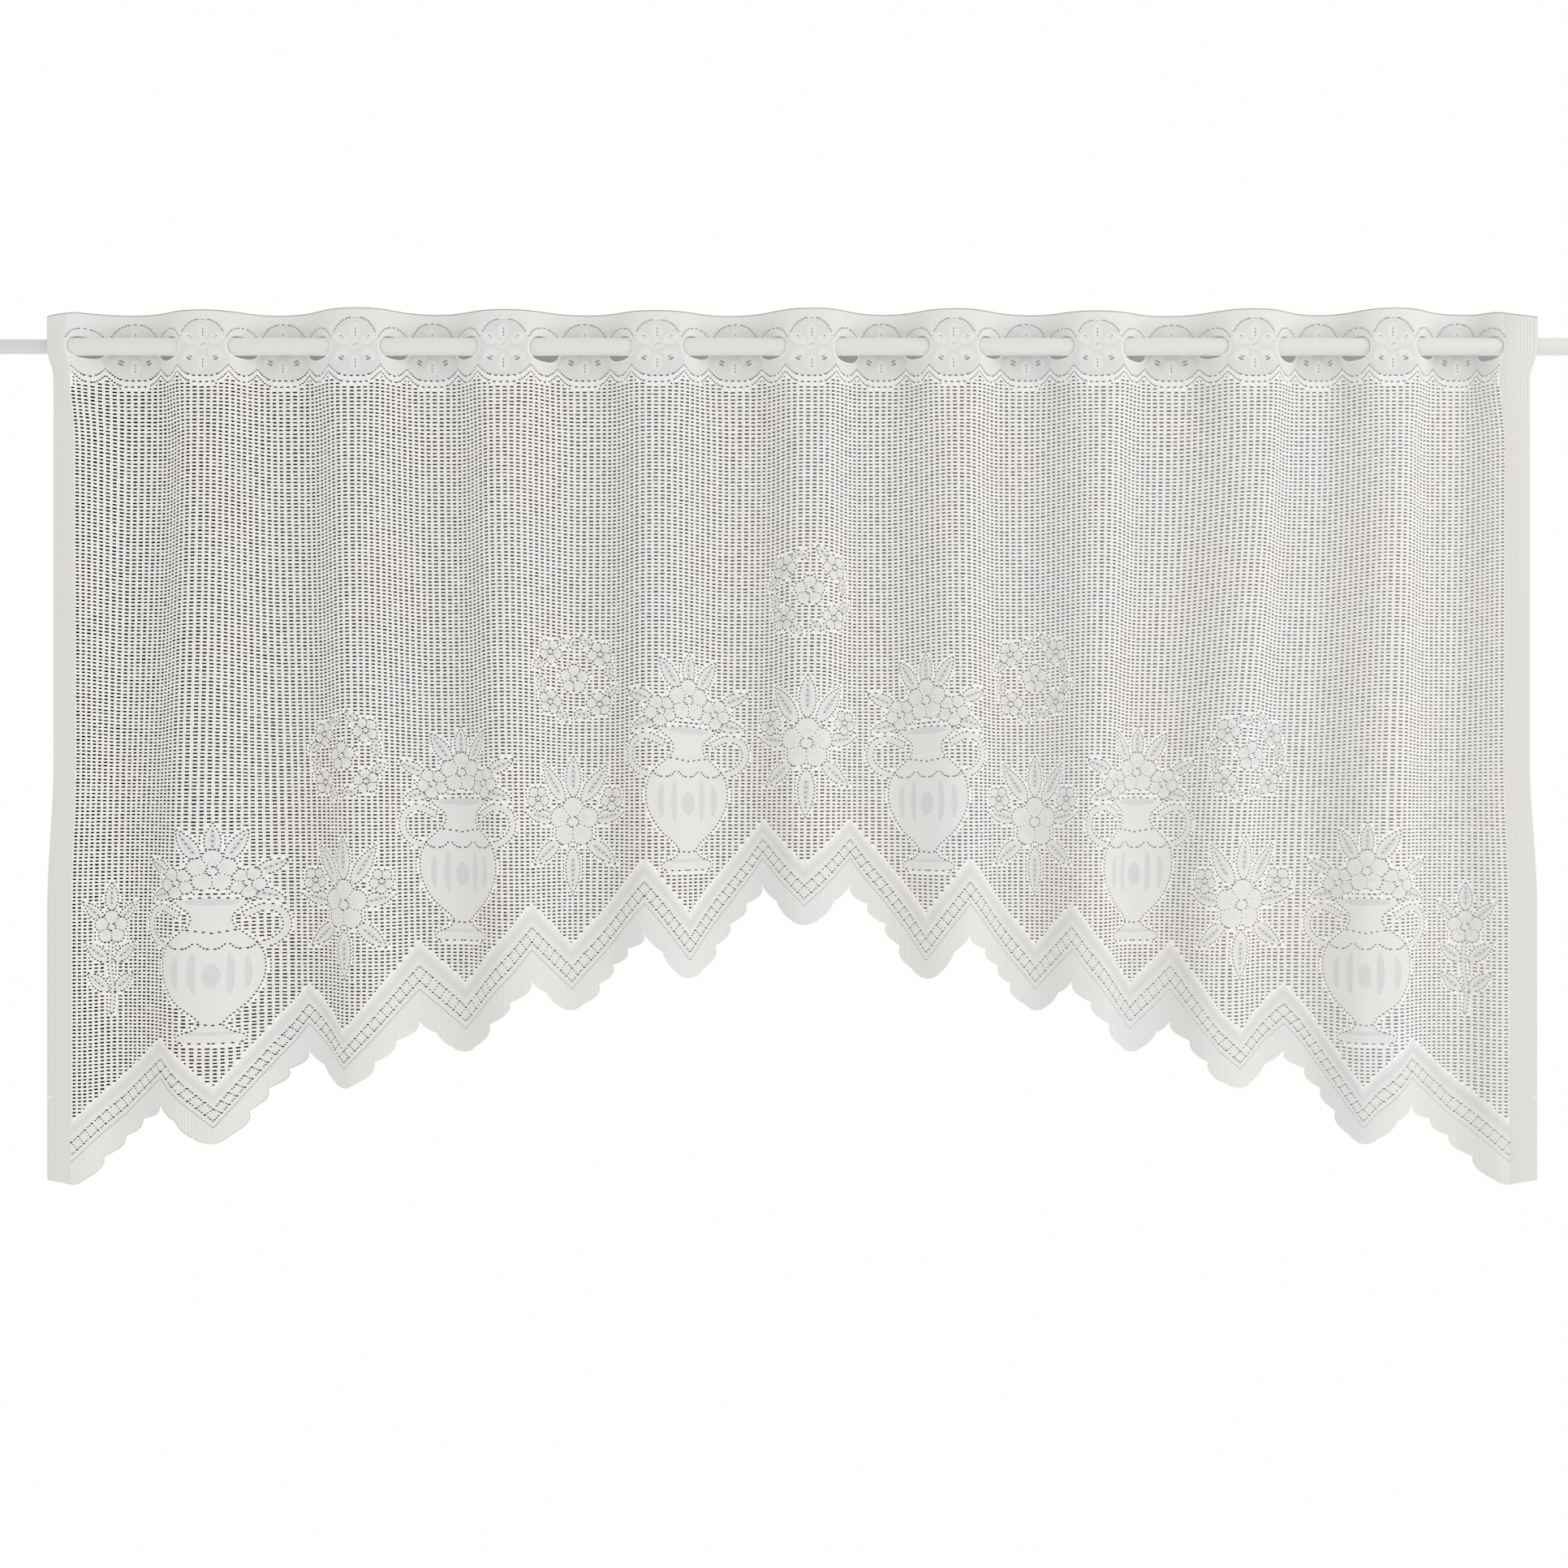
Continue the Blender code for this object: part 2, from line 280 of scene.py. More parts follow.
class Pattern:
    """Shapes knitted into the cloth. Later layers lie over earlier ones and hide their holes."""

    def __init__(self, relative=True):
        self.relative = relative
        self.layers = []
        self.solid = []
        self.holes = []

    def layer(self, path, tone=DENSE, solid=True):
        """Add an area of one tone, which counts as a form of its own if it is solid"""
        self.layers.append((np.asarray(path), tone))
        self.solid.append(solid)

    def hole(self, path):
        """Add one opening to the newest layer"""
        self.holes.append((len(self.layers), np.asarray(path)))

    def dots(self, path, closed=True, pitch=3.5):
        """Add small openings along a path, long where it runs level and small where it climbs"""
        places, ways = walked(path, pitch, closed)
        skip = False
        for (x, z), (along, _) in zip(places, ways):
            level = abs(along)
            if level > 0.93:
                if not skip:
                    self.hole(oval(x, z, 1.5, 0.8))
                skip = not skip
            else:
                self.hole(oval(x, z, 1.0 if level > 0.5 else 0.85, 0.76))
                skip = False

    def form(self, path, pitch=3.5):
        """Add a dense area with a dotted outline"""
        self.layer(path)
        self.dots(path, pitch=pitch)

    def shown_holes(self):
        """Give the openings that no later form lies over"""
        shown = []
        centres = np.array([path.mean(axis=0) for _, path in self.holes])
        hidden = np.zeros(len(centres), dtype=bool)
        ages = np.array([age for age, _ in self.holes])
        for index, (outline, _) in enumerate(self.layers):
            if self.solid[index]:
                hidden |= (ages <= index) & inside(centres, outline)
        for (_, path), gone in zip(self.holes, hidden):
            if not gone:
                shown.append(path)
        return shown


# Parts of the motifs

def placed(path, x, z, turn):
    """Turn a path by some degrees and move it"""
    c, s = math.cos(math.radians(turn)), math.sin(math.radians(turn))
    return np.column_stack((x + path[:, 0] * c - path[:, 1] * s, z + path[:, 0] * s + path[:, 1] * c))


def leaf(pattern, x, z, length, width, turn):
    """Add a pointed leaf with an open-worked vein, growing from its base"""
    share = np.linspace(0, 1, 9)
    half = width / 2 * np.sin(np.pi * share ** 0.85) ** 0.85
    upper = np.column_stack((length * share, half))
    lower = np.column_stack((length * share, -half))[::-1][1:-1]
    pattern.form(placed(np.vstack((upper, lower)), x, z, turn), pitch=3.2)
    vein = placed(np.vstack((upper, lower)) * (0.62, 0.42) + (length * 0.2, 0), x, z, turn)
    pattern.layer(vein, MEDIUM, solid=False)
    for step in range(int(length / 7)):
        slit = placed(np.array([(length * 0.3 + step * 4.6, 0.0)]), x, z, turn)[0]
        pattern.hole(oval(slit[0], slit[1], 1.3, 0.5, turn * 0.6 if abs(turn) < 90 else (turn - 180) * 0.6))


def flower(pattern, x, z, radius, turn=90.0, petals=5):
    """Add a flower of round petals with slits and a dotted centre"""
    angle = np.linspace(0, 2 * math.pi, petals * 9, endpoint=False)
    bloom = radius * (0.66 + 0.34 * np.abs(np.cos(petals / 2 * angle)) ** 0.6)
    outline = np.column_stack((bloom * np.cos(angle), bloom * np.sin(angle)))
    pattern.form(placed(outline, x, z, turn), pitch=3.3)
    for petal in range(petals):
        middle = turn + 360 / petals * petal
        gap = math.radians(middle + 180 / petals)
        for share in (0.32, 0.5, 0.64):
            pattern.hole(oval(x + radius * share * math.cos(gap), z + radius * share * math.sin(gap), 0.7, 0.55))
        for side in (-14, 0, 14):
            way = math.radians(middle + side)
            reach = radius * (0.55 if side == 0 else 0.46)
            vein = oval(x + reach * math.cos(way), z + reach * math.sin(way), radius * 0.16, 0.6, middle + side)
            pattern.layer(vein, MEDIUM, solid=False)
    pattern.dots(oval(x, z, radius * 0.24, radius * 0.21, points=12), pitch=2.6)


def ribbon(pattern, corners, width):
    """Add a band along a smooth curve, such as a handle or a stem"""
    middle = smooth(corners)
    ways = np.gradient(middle, axis=0)
    ways /= np.hypot(ways[:, 0], ways[:, 1])[:, None]
    side = np.column_stack((-ways[:, 1], ways[:, 0])) * width / 2
    pattern.form(np.vstack((middle + side, (middle - side)[::-1])))


def both_sides(shape, pattern, x, z, size_a, size_b, turn):
    """Add a leaf and its mirror image"""
    shape(pattern, x, z, size_a, size_b, turn)
    shape(pattern, -x, z, size_a, size_b, 180 - turn)


# The motifs: plain vases with flowers, sprays, wreaths and sprigs of a general kind, each drawn about the
# middle of its foot

VASE_PROFILE = (
    (0, 0), (18, 0), (26, 2), (25, 7), (14, 12), (9, 18), (14, 25), (28, 38), (38, 56), (40, 74),
    (35, 90), (23, 102), (16, 110), (17, 119), (27, 128), (24, 132), (0, 134),
)


def vase_motif():
    """Draw a footed vase with two handles and a bunch of flowers"""
    pattern = Pattern()
    leaf(pattern, 0, 172, 30, 13, 90)
    both_sides(leaf, pattern, 9, 166, 36, 13, 58)
    both_sides(leaf, pattern, 33, 156, 28, 12, 25)
    both_sides(leaf, pattern, 26, 140, 30, 12, -14)
    for side in (-1, 1):
        ribbon(pattern, [(side * a, b) for a, b in ((31, 88), (46, 92), (56, 104), (53, 119), (40, 124), (24, 117))], 6.5)
    right = smooth(VASE_PROFILE, steps=4)
    body = np.vstack((right, (right * (-1, 1))[::-1][1:-1]))
    pattern.form(body)
    pattern.layer(oval(0, 129.5, 21, 3.2, points=20), MEDIUM, solid=False)
    for share in (-0.78, -0.42, 0.42, 0.78):
        flute = oval(share * 35, 64, 3.0, 21 * math.sqrt(1 - share * share * 0.75), points=14)
        pattern.layer(flute + np.column_stack((-(flute[:, 1] - 64) ** 2 * share * 0.008, flute[:, 1] * 0)),
                      MEDIUM, solid=False)
    pattern.layer(oval(0, 9, 20, 1.6, points=14), MEDIUM, solid=False)
    pattern.dots([(-19, 104), (0, 101), (19, 104)], closed=False, pitch=2.9)
    pattern.dots([(-11, 18), (0, 16.5), (11, 18)], closed=False, pitch=2.9)
    for side in (-1, 0, 1):
        garland = [(side * 24 - 11, 92), (side * 24 - 5, 87), (side * 24 + 5, 87), (side * 24 + 11, 92)]
        pattern.dots(smooth(garland), closed=False, pitch=2.9)
    pattern.layer(oval(0, 62, 7, 11, points=14), MEDIUM, solid=False)
    flower(pattern, -27, 147, 15, turn=120)
    flower(pattern, 27, 147, 15, turn=60)
    flower(pattern, 0, 158, 20)
    return pattern


def spray_motif():
    """Draw a spray of one large flower with leaves and two small flowers"""
    pattern = Pattern()
    leaf(pattern, 0, 96, 42, 15, 90)
    both_sides(leaf, pattern, 8, 92, 44, 14, 57)
    both_sides(leaf, pattern, 17, 76, 34, 13, 12)
    both_sides(leaf, pattern, 12, 58, 38, 14, -38)
    leaf(pattern, 0, 52, 46, 15, -90)
    flower(pattern, -37, 96, 12, turn=130)
    flower(pattern, 37, 96, 12, turn=50)
    flower(pattern, 0, 74, 24)
    return pattern


def wreath_motif():
    """Draw a ring of leaves with four small flowers and one in its middle"""
    pattern = Pattern()
    middle, ring = 46, 33
    for step in range(12):
        if step % 3:
            angle = math.radians(30 * step + 45 - 15)
            leaf(pattern, ring * math.cos(angle), middle + ring * math.sin(angle), 17, 9,
                 30 * step + 45 + (55 if step % 3 == 1 else 75))
    for step in range(4):
        angle = math.radians(45 + 90 * step)
        flower(pattern, ring * math.cos(angle), middle + ring * math.sin(angle), 12, turn=45 + 90 * step)
    flower(pattern, 0, middle, 14)
    return pattern


def sprig_motif():
    """Draw a small upright sprig with one flower"""
    pattern = Pattern()
    leaf(pattern, 0, 96, 28, 12, 90)
    both_sides(leaf, pattern, 6, 88, 28, 11, 40)
    both_sides(leaf, pattern, 2, 50, 30, 12, 38)
    both_sides(leaf, pattern, 2, 22, 28, 12, 42)
    ribbon(pattern, [(0, 2), (1.5, 24), (-1.5, 48), (0, 72)], 4)
    flower(pattern, 0, 82, 16)
    return pattern


# Knitting flat areas into triangles

class Cloth:
    """Triangles of flat cloth: their corners, which corners are set back, and their tones"""

    def __init__(self):
        self.corners, self.back, self.tones = [], [], []

    def add(self, corners, back, tones):
        self.corners.append(corners)
        self.back.append(back)
        self.tones.append(tones)

    def add_shifted(self, other, across, up):
        for corners, back, tones in zip(other.corners, other.back, other.tones):
            self.add(corners + (across, up), back, tones)


def prepared(path):
    """Run a closed path counter-clockwise, and split its long sides so that it can follow the folds"""
    path = np.asarray(path, dtype=float)
    after = np.roll(path, -1, axis=0)
    if (path[:, 0] * after[:, 1] - after[:, 0] * path[:, 1]).sum() < 0:
        path = path[::-1]
    points = []
    for start, end in zip(path, np.roll(path, -1, axis=0)):
        count = max(math.ceil(math.dist(start, end) / LONGEST_SIDE), 1)
        points += [start + (end - start) * step / count for step in range(count)]
    return np.array(points)


def triangulate(points, edges, pattern, holes):
    """Cut an area into triangles along its edges and shapes. Returns corners, set-back corners and tones."""
    places = [tuple(point) for point in points]
    loops = []
    for outline in [prepared(path) for path, _ in pattern.layers] + holes:
        loops.append(list(range(len(places), len(places) + len(outline))))
        places += [tuple(point) for point in outline]
    first_hole = len(pattern.layers)
    first_rim = loops[first_hole][0] if holes else len(places)
    flat, _, triangles, sources, _, owners = delaunay_2d_cdt(places, edges, loops, 0, 1e-5, True)
    flat = np.array([(point[0], point[1]) for point in flat])
    rim = np.array([any(index >= first_rim for index in source) for source in sources])
    kept, tones = [], []
    for triangle, owner in zip(triangles, owners):
        if owner and max(owner) >= first_hole:
            continue
        kept.append(triangle)
        tones.append(pattern.layers[max(owner)][1] if owner else NET)
    kept = np.array(kept)
    corners = flat[kept]
    first, second = corners[:, 1] - corners[:, 0], corners[:, 2] - corners[:, 0]
    area = first[:, 0] * second[:, 1] - first[:, 1] * second[:, 0]
    kept[area < 0] = kept[area < 0][:, ::-1]
    sound = np.abs(area) > 1e-6
    return flat[kept][sound], rim[kept][sound] * RIM_SET_BACK, np.array(tones)[sound]


def cell_hole(points=8):
    """Give the net's rounded hole, about its own middle"""
    a, b = HOLE_WIDTH / 2, HOLE_HEIGHT / 2
    return np.array(((a, -0.45 * b), (a, 0.45 * b), (0.72 * a, b), (-0.72 * a, b),
                     (-a, 0.45 * b), (-a, -0.45 * b), (-0.72 * a, -b), (0.72 * a, -b)))


def net_cells(columns, rows):
    """Knit open cells, given by their columns and rows from the net's top left corner"""
    rng = np.random.default_rng(SEED)
    count = len(columns)
    hole = cell_hole()
    corner = np.array(((1, 0), (1, 1), (0, 1), (0, 0)), dtype=float) * (CELL_WIDTH, CELL_HEIGHT)
    origin = np.column_stack((columns * CELL_WIDTH, -(rows + 1) * CELL_HEIGHT))
    drift = rng.normal(0, HOLE_UNEVENNESS, (count, 1, 2))
    grow = 1 + rng.normal(0, HOLE_UNEVENNESS * 0.8, (count, 1, 2))
    rim = hole[None] * grow + (CELL_WIDTH / 2, CELL_HEIGHT / 2) + drift + origin[:, None]
    outer = corner[None] + origin[:, None]
    nodes = np.concatenate((outer, rim), axis=1)
    faces = []
    for side in range(4):
        near = 4 + 2 * side
        here, after = side, (side + 1) % 4
        faces += [(here, after, near + 1), (here, near + 1, near), (after, 4 + (2 * side + 2) % 8, near + 1)]
    faces = np.array(faces)
    corners = nodes[:, faces].reshape(-1, 3, 2)
    back = np.tile((faces >= 4) * RIM_SET_BACK, (count, 1))
    return corners, back, np.full(len(corners), NET)


def line_across(column, relative=False):
    """Give the place of a column line, counted from the first net column. A motif of its own has no hems."""
    column = np.asarray(column, dtype=float)
    if relative:
        return column * CELL_WIDTH
    hem_step = HEM_WIDTH / HEM_COLUMNS
    net_end = NET_COLUMNS * CELL_WIDTH
    across = np.where(column < 0, column * hem_step, column * CELL_WIDTH)
    return np.where(column > NET_COLUMNS, net_end + (column - NET_COLUMNS) * hem_step, across)


def column_of(across, relative=False):
    """Give the column that a place lies in"""
    if relative:
        return np.floor(across / CELL_WIDTH).astype(int)
    hem_step = HEM_WIDTH / HEM_COLUMNS
    net_end = NET_COLUMNS * CELL_WIDTH
    column = np.where(across < 0, across / hem_step, across / CELL_WIDTH)
    return np.floor(np.where(across > net_end, NET_COLUMNS + (across - net_end) / hem_step, column)).astype(int)


def weave(cells, pattern, outline=None):
    """Knit a block of cells with a pattern in it. Where a cell is only partly covered, it keeps a smaller hole."""
    block = set(map(tuple, cells))
    corner_index, points, edges = {}, [], []

    def corner(column, row):
        key = (column, row)
        if key not in corner_index:
            corner_index[key] = len(points)
            points.append((float(line_across(column, pattern.relative)), -row * CELL_HEIGHT))
        return corner_index[key]

    for column, row in sorted(block):
        square = [corner(column, row), corner(column + 1, row), corner(column + 1, row + 1), corner(column, row + 1)]
        around = ((column, row - 1), (column + 1, row), (column, row + 1), (column - 1, row))
        for side, neighbour in enumerate(around):
            if neighbour not in block:
                edges.append((square[side], square[(side + 1) % 4]))
    if outline is not None:
        edge_points, _ = walked(outline, 1.0)
        clear = inside(points, outline) & (nearest(np.array(points), edge_points) > 1.2)
        fixed = {index for edge in edges for index in edge}
        edges = [edge for edge in edges if clear[edge[0]] and clear[edge[1]]]
        renumber = {old: new for new, old in enumerate(i for i in range(len(points)) if clear[i])}
        points = [points[i] for i in renumber]
        edges = [(renumber[a], renumber[b]) for a, b in edges]
    holes = pattern.shown_holes()
    holes += squeezed_holes(sorted(block), pattern, holes)
    corners, back, tones = triangulate(points, edges, pattern, holes)
    middle = corners.mean(axis=1)
    column = column_of(middle[:, 0], pattern.relative)
    row = np.floor(-middle[:, 1] / CELL_HEIGHT).astype(int)
    kept = np.array([(a, b) in block for a, b in zip(column, row)])
    if outline is not None:
        kept &= inside(middle, outline)
    piece = Cloth()
    piece.add(corners[kept], back[kept], tones[kept])
    return piece


def nearest(points, others):
    """Give each point's distance to the nearest of the others"""
    tree = KDTree(len(others))
    for index, (x, z) in enumerate(others):
        tree.insert((x, z, 0), index)
    tree.balance()
    return np.array([tree.find((x, z, 0))[2] for x, z in points])


def under_any(points, paths):
    """Tell which points lie within any of the outlines"""
    under = np.zeros(len(points), dtype=bool)
    for path in paths:
        low, high = path.min(axis=0), path.max(axis=0)
        close = np.flatnonzero(((points > low) & (points < high)).all(axis=1))
        if len(close):
            under[close] |= inside(points[close], path)
    return under


def squeezed_holes(cells, pattern, dots):
    """Give whole or half net holes in cells that a pattern touches, where they stay clear of it"""
    cells = np.array([cell for cell in cells if 0 <= cell[0] < NET_COLUMNS or pattern.relative])
    solids = [path for (path, _), solid in zip(pattern.layers, pattern.solid) if solid]
    marks = np.vstack([walked(path, 1.0)[0] for path in solids] + [[dot.mean(axis=0) for dot in dots]])
    middle = np.column_stack(((cells[:, 0] + 0.5) * CELL_WIDTH, -(cells[:, 1] + 0.5) * CELL_HEIGHT))
    middle = middle[~(under_any(middle, solids) & (nearest(middle, marks) > HOLE_WIDTH))]

    def clear(shapes):
        points = shapes.reshape(-1, 2)
        free = (nearest(points, marks) > DOT_CLEARANCE) & ~under_any(points, solids)
        return free.reshape(len(shapes), -1).all(axis=1)

    whole = middle[:, None] + cell_hole()
    fits = clear(whole)
    found = list(whole[fits])
    for side in (-1, 1):
        half = middle[~fits][:, None] + cell_hole() * (0.46, 0.9) + (side * HOLE_WIDTH * 0.3, 0)
        found += list(half[clear(half)])
    return found


def touched_cells(pattern):
    """Give the net cells that a pattern lies on, wholly or in part"""
    solids = [path for (path, _), solid in zip(pattern.layers, pattern.solid) if solid]
    low = np.min([path.min(axis=0) for path in solids], axis=0) - 4
    high = np.max([path.max(axis=0) for path in solids], axis=0) + 4
    columns = np.arange(math.floor(low[0] / CELL_WIDTH), math.ceil(high[0] / CELL_WIDTH))
    rows = np.arange(math.floor(-high[1] / CELL_HEIGHT), math.ceil(-low[1] / CELL_HEIGHT))
    grid = np.array([(column, row) for column in columns for row in rows])
    touched = np.zeros(len(grid), dtype=bool)
    for share_x in (0.0, 0.33, 0.67, 1.0):
        for share_z in (0.0, 0.5, 1.0):
            sample = np.column_stack(((grid[:, 0] + share_x) * CELL_WIDTH, -(grid[:, 1] + share_z) * CELL_HEIGHT))
            for path in solids:
                touched |= inside(sample, path)
    marks = np.vstack([hole for hole in pattern.shown_holes()])
    marked = set(zip(np.floor(marks[:, 0] / CELL_WIDTH).astype(int), np.floor(-marks[:, 1] / CELL_HEIGHT).astype(int)))
    touched |= np.array([tuple(cell) in marked for cell in grid])
    return grid[touched]


# Outlines of the lower edge, all from left to right

def rounded_corner(before, corner, after, radius, segments):
    """Give the points of an arc that rounds a corner of the outline"""
    to_before = (before - corner).normalized()
    to_after = (after - corner).normalized()
    half_angle = to_before.angle(to_after) / 2
    reach = radius / math.tan(half_angle)
    centre = corner + (to_before + to_after).normalized() * radius / math.sin(half_angle)
    first = corner + to_before * reach - centre
    last = corner + to_after * reach - centre
    sweep = first.angle_signed(last)
    points = []
    for step in range(segments + 1):
        turn = -sweep * step / segments
        spun = Vector((first.x * math.cos(turn) - first.y * math.sin(turn),
                       first.x * math.sin(turn) + first.y * math.cos(turn)))
        points.append(centre + spun)
    return points


def scalloped_run(start, end):
    """Give the points of a row of small scallops from start up to, not with, end. The inner flank of each
    step is the longer one, and its scallops are deep and fullest towards their upper ends."""
    run = end - start
    count = max(round(run.length / SCALLOP_PITCH), 1)
    outward = Vector((run.y, -run.x)).normalized()
    middle = FLAT_WIDTH / 2
    inner = abs(min(start, end, key=lambda point: point.y).x - middle) > abs(max(start, end, key=lambda p: p.y).x - middle)
    depth = SCALLOP_DEPTH if inner else SHORT_RUN_DEPTH
    skew = SCALLOP_SKEW * (1 if run.y > 0 else -1) if inner else 0.0
    steps = count * SCALLOP_SEGMENTS
    points = []
    for step in range(steps):
        share = step % SCALLOP_SEGMENTS / SCALLOP_SEGMENTS
        share -= skew * share * (1 - share)
        bulge = depth * math.sin(math.pi * share) ** 0.7
        bow = FLANK_BOW * run.length * math.sin(math.pi * step / steps)
        points.append(start + run * step / steps + outward * (bulge - bow))
    return points


def lower_edge():
    """Give the flat outline of the lower edge from its left corner to its right one"""
    middle = FLAT_WIDTH / 2
    half = []
    for out, tip, notch, _, _ in EDGE_STEPS:
        half.append(("tip", out, tip))
        if notch is not None:
            half.append(("notch", out + NOTCH_OUT_OF_TIP, notch))
    corners = [(kind, Vector((middle - out, z))) for kind, out, z in reversed(half)]
    corners += [(kind, Vector((middle + out, z))) for kind, out, z in half[1:]]
    left = Vector((0.0, CORNER_HEIGHT))
    right = Vector((FLAT_WIDTH, CORNER_HEIGHT))
    places = [left] + [point for kind, point in corners] + [right]
    path = [left]
    previous_end = left
    for index, (kind, point) in enumerate(corners, start=1):
        bend = [point]
        if kind == "tip":
            bend = rounded_corner(places[index - 1], point, places[index + 1], TIP_RADIUS, TIP_SEGMENTS)
        if index > 1:
            path += scalloped_run(previous_end, bend[0])
        path += bend[:-1]
        previous_end = bend[-1]
    path += [previous_end, right]
    return np.array([(point.x, point.y) for point in path])


def border_line(share):
    """Give the stepped line that lies a share of the way from the net's edge to the lower edge"""
    half = []
    for out, tip, notch, net_tip, net_notch in EDGE_STEPS[:-1]:
        half.append((out, net_tip + (tip - net_tip) * share))
        half.append((out + NOTCH_OUT_OF_TIP, net_notch + (notch - net_notch) * share))
    half.append((FLAT_WIDTH / 2 - HEM_WIDTH, NET_END_AT_HEM + (BORDER_END_AT_HEM - NET_END_AT_HEM) * share))
    half = np.array(half)
    return np.vstack((half[::-1] * (-1, 1), half[1:])) + (FLAT_WIDTH / 2, 0)


# Border lines, as shares of the way from the net's edge to the lower edge
STRIPE_START, STRIPE_END = 0.07, 0.19
UPPER_DOTS, LOWER_DOTS, FINE_DOTS = 0.295, 0.485, 0.59
RIBS_START = 0.62
LADDER_PITCH = 8.8
RUNG_SLANT = 6.0
NODE_CLEARANCE = 2.3
# Width in mm of the dark strips of painted shade along the lower and top edges
EDGE_SHADE_WIDTH = 0.9


def strip(start, end):
    """Give the area between two border lines"""
    return np.vstack((border_line(start), border_line(end)[::-1]))


def border_pattern():
    """Draw the border: a grey stripe, a ladder of dots, a fine dotted line and a ribbed edge"""
    pattern = Pattern()
    edge = lower_edge()
    net_edge = border_line(0.0)
    pattern.layer(np.vstack((net_edge, edge[::-1])))
    pattern.layer(strip(STRIPE_START, STRIPE_END), STRIPE, solid=False)
    pattern.layer(np.vstack((border_line(RIBS_START), edge[::-1])), RIBBED, solid=False)
    # A darker strip inside the lower edge: painted shade on the cloth's edge
    ways = np.gradient(edge, axis=0)
    ways /= np.hypot(ways[:, 0], ways[:, 1])[:, None]
    inner = edge + np.column_stack((-ways[:, 1], ways[:, 0])) * EDGE_SHADE_WIDTH
    pattern.layer(np.vstack((inner, edge[::-1])), LOWER_EDGE_SHADE, solid=False)
    hem_outline = ((0, -300), (HEM_WIDTH, -300), (HEM_WIDTH, BORDER_END_AT_HEM), (0, BORDER_END_AT_HEM))
    pattern.layer(hem_outline, HEM)
    pattern.layer([(FLAT_WIDTH - x, z) for x, z in hem_outline], HEM)
    upper, lower = border_line(UPPER_DOTS), border_line(LOWER_DOTS)
    rungs = []
    for start, end, start_low, end_low in zip(upper, upper[1:], lower, lower[1:]):
        count = max(round(math.dist(start, end) / LADDER_PITCH), 2)
        slant = math.copysign(RUNG_SLANT, end[1] - start[1])
        for step in range(count + 1):
            top = start + (end - start) * step / count
            across = top[0] + slant
            if start[0] - 1 < across < end[0] + 1:
                rungs.append((top, np.array((across, np.interp(across, lower[:, 0], lower[:, 1])))))
    nodes = np.vstack(rungs)
    for share, half_width, half_height, pitch in (
            (UPPER_DOTS, 0.9, 0.62, 2.3), (LOWER_DOTS, 0.9, 0.62, 2.3), (FINE_DOTS, 0.62, 0.38, 1.9)):
        places, _ = walked(border_line(share), pitch, closed=False)
        for (x, z), away in zip(places, nearest(places, nodes)):
            if away > NODE_CLEARANCE:
                pattern.hole(oval(x, z, half_width, half_height))
    for top, foot in rungs:
        for x, z in (top, foot):
            pattern.hole(oval(x, z, 1.5, 0.8))
        for share in (0.33, 0.67):
            x, z = top + (foot - top) * share
            pattern.hole(oval(x, z, 0.75, 0.55))
    return pattern


def border_cells(edge_line):
    """Give the cells below the net's edge, and the lowest part of the hems"""
    lines = line_across(np.arange(NET_COLUMNS + 1)) + HEM_WIDTH
    heights = np.interp(lines, edge_line[:, 0], edge_line[:, 1])
    for corner_across, corner_height in edge_line:
        column = int((corner_across - HEM_WIDTH) / CELL_WIDTH)
        if 0 <= column < NET_COLUMNS:
            heights[column] = max(heights[column], corner_height)
    lowest = math.ceil((HEAD_FOOT - min(edge[1] for edge in lower_edge())) / CELL_HEIGHT) + 1
    cells = []
    for column in range(NET_COLUMNS):
        top = max(heights[column], heights[column + 1])
        first = math.floor((HEAD_FOOT - top) / CELL_HEIGHT)
        cells += [(column, row) for row in range(first, lowest)]
    for column in list(range(-HEM_COLUMNS, 0)) + list(range(NET_COLUMNS, NET_COLUMNS + HEM_COLUMNS)):
        cells += [(column, row) for row in range(HEM_ROWS_ALONE, lowest)]
    return cells


# Heading: one flower in a rounded field for each station, drawn about the field's middle

FIELD_OUTLINE = (
    (0, 23.5), (6, 22.8), (11.5, 20), (15.5, 15.5), (18.5, 11), (21, 6.5), (24, 0), (25, -10), (23.5, -18.5),
    (17.5, -24.4), (13, -27.4), (8, -28.8), (0, -29),
)
LOBE_ARC = ((21, 6.5), (27, 14), (37.5, 17))
LOWER_CONTOUR = (
    (0, -29), (8, -28.8), (13, -27.4), (17.5, -24.4), (23.5, -18.5), (29, -23.8), (33, -26.3), (37.5, -27),
)
BAND_HEIGHT = 6.4
PETALS = ((0, 11.5, 90), (11.5, 5, 31), (11.5, -10, -31), (0, -17, 90), (-11.5, -10, 31), (-11.5, 5, -31))
SLIT_PLACE = (10.6, -10.9)
SLIT_STEP = (0.9, -2.6)
VEIN_HEIGHTS = (11.0, -17.4)
NET_ROWS_IN_HEADING = 7


def mirrored_run(half):
    """Give a run and its mirror image as one, from left to right"""
    half = np.array(half, dtype=float)
    return np.vstack((half[::-1] * (-1, 1), half[1:]))


def repeated(half, drop=0.0):
    """Repeat half a run over the whole heading, mirrored about each station"""
    half = np.array(half, dtype=float) - (0, drop)
    run = []
    for station in range(len(STATIONS)):
        middle = station * STATION_PITCH
        run += [(middle + x, z) for x, z in mirrored_run(half) if HEM_WIDTH <= middle + x <= FLAT_WIDTH - HEM_WIDTH]
    run = np.array(run)
    return run[np.concatenate(([True], np.diff(run[:, 0]) > 0.01))]


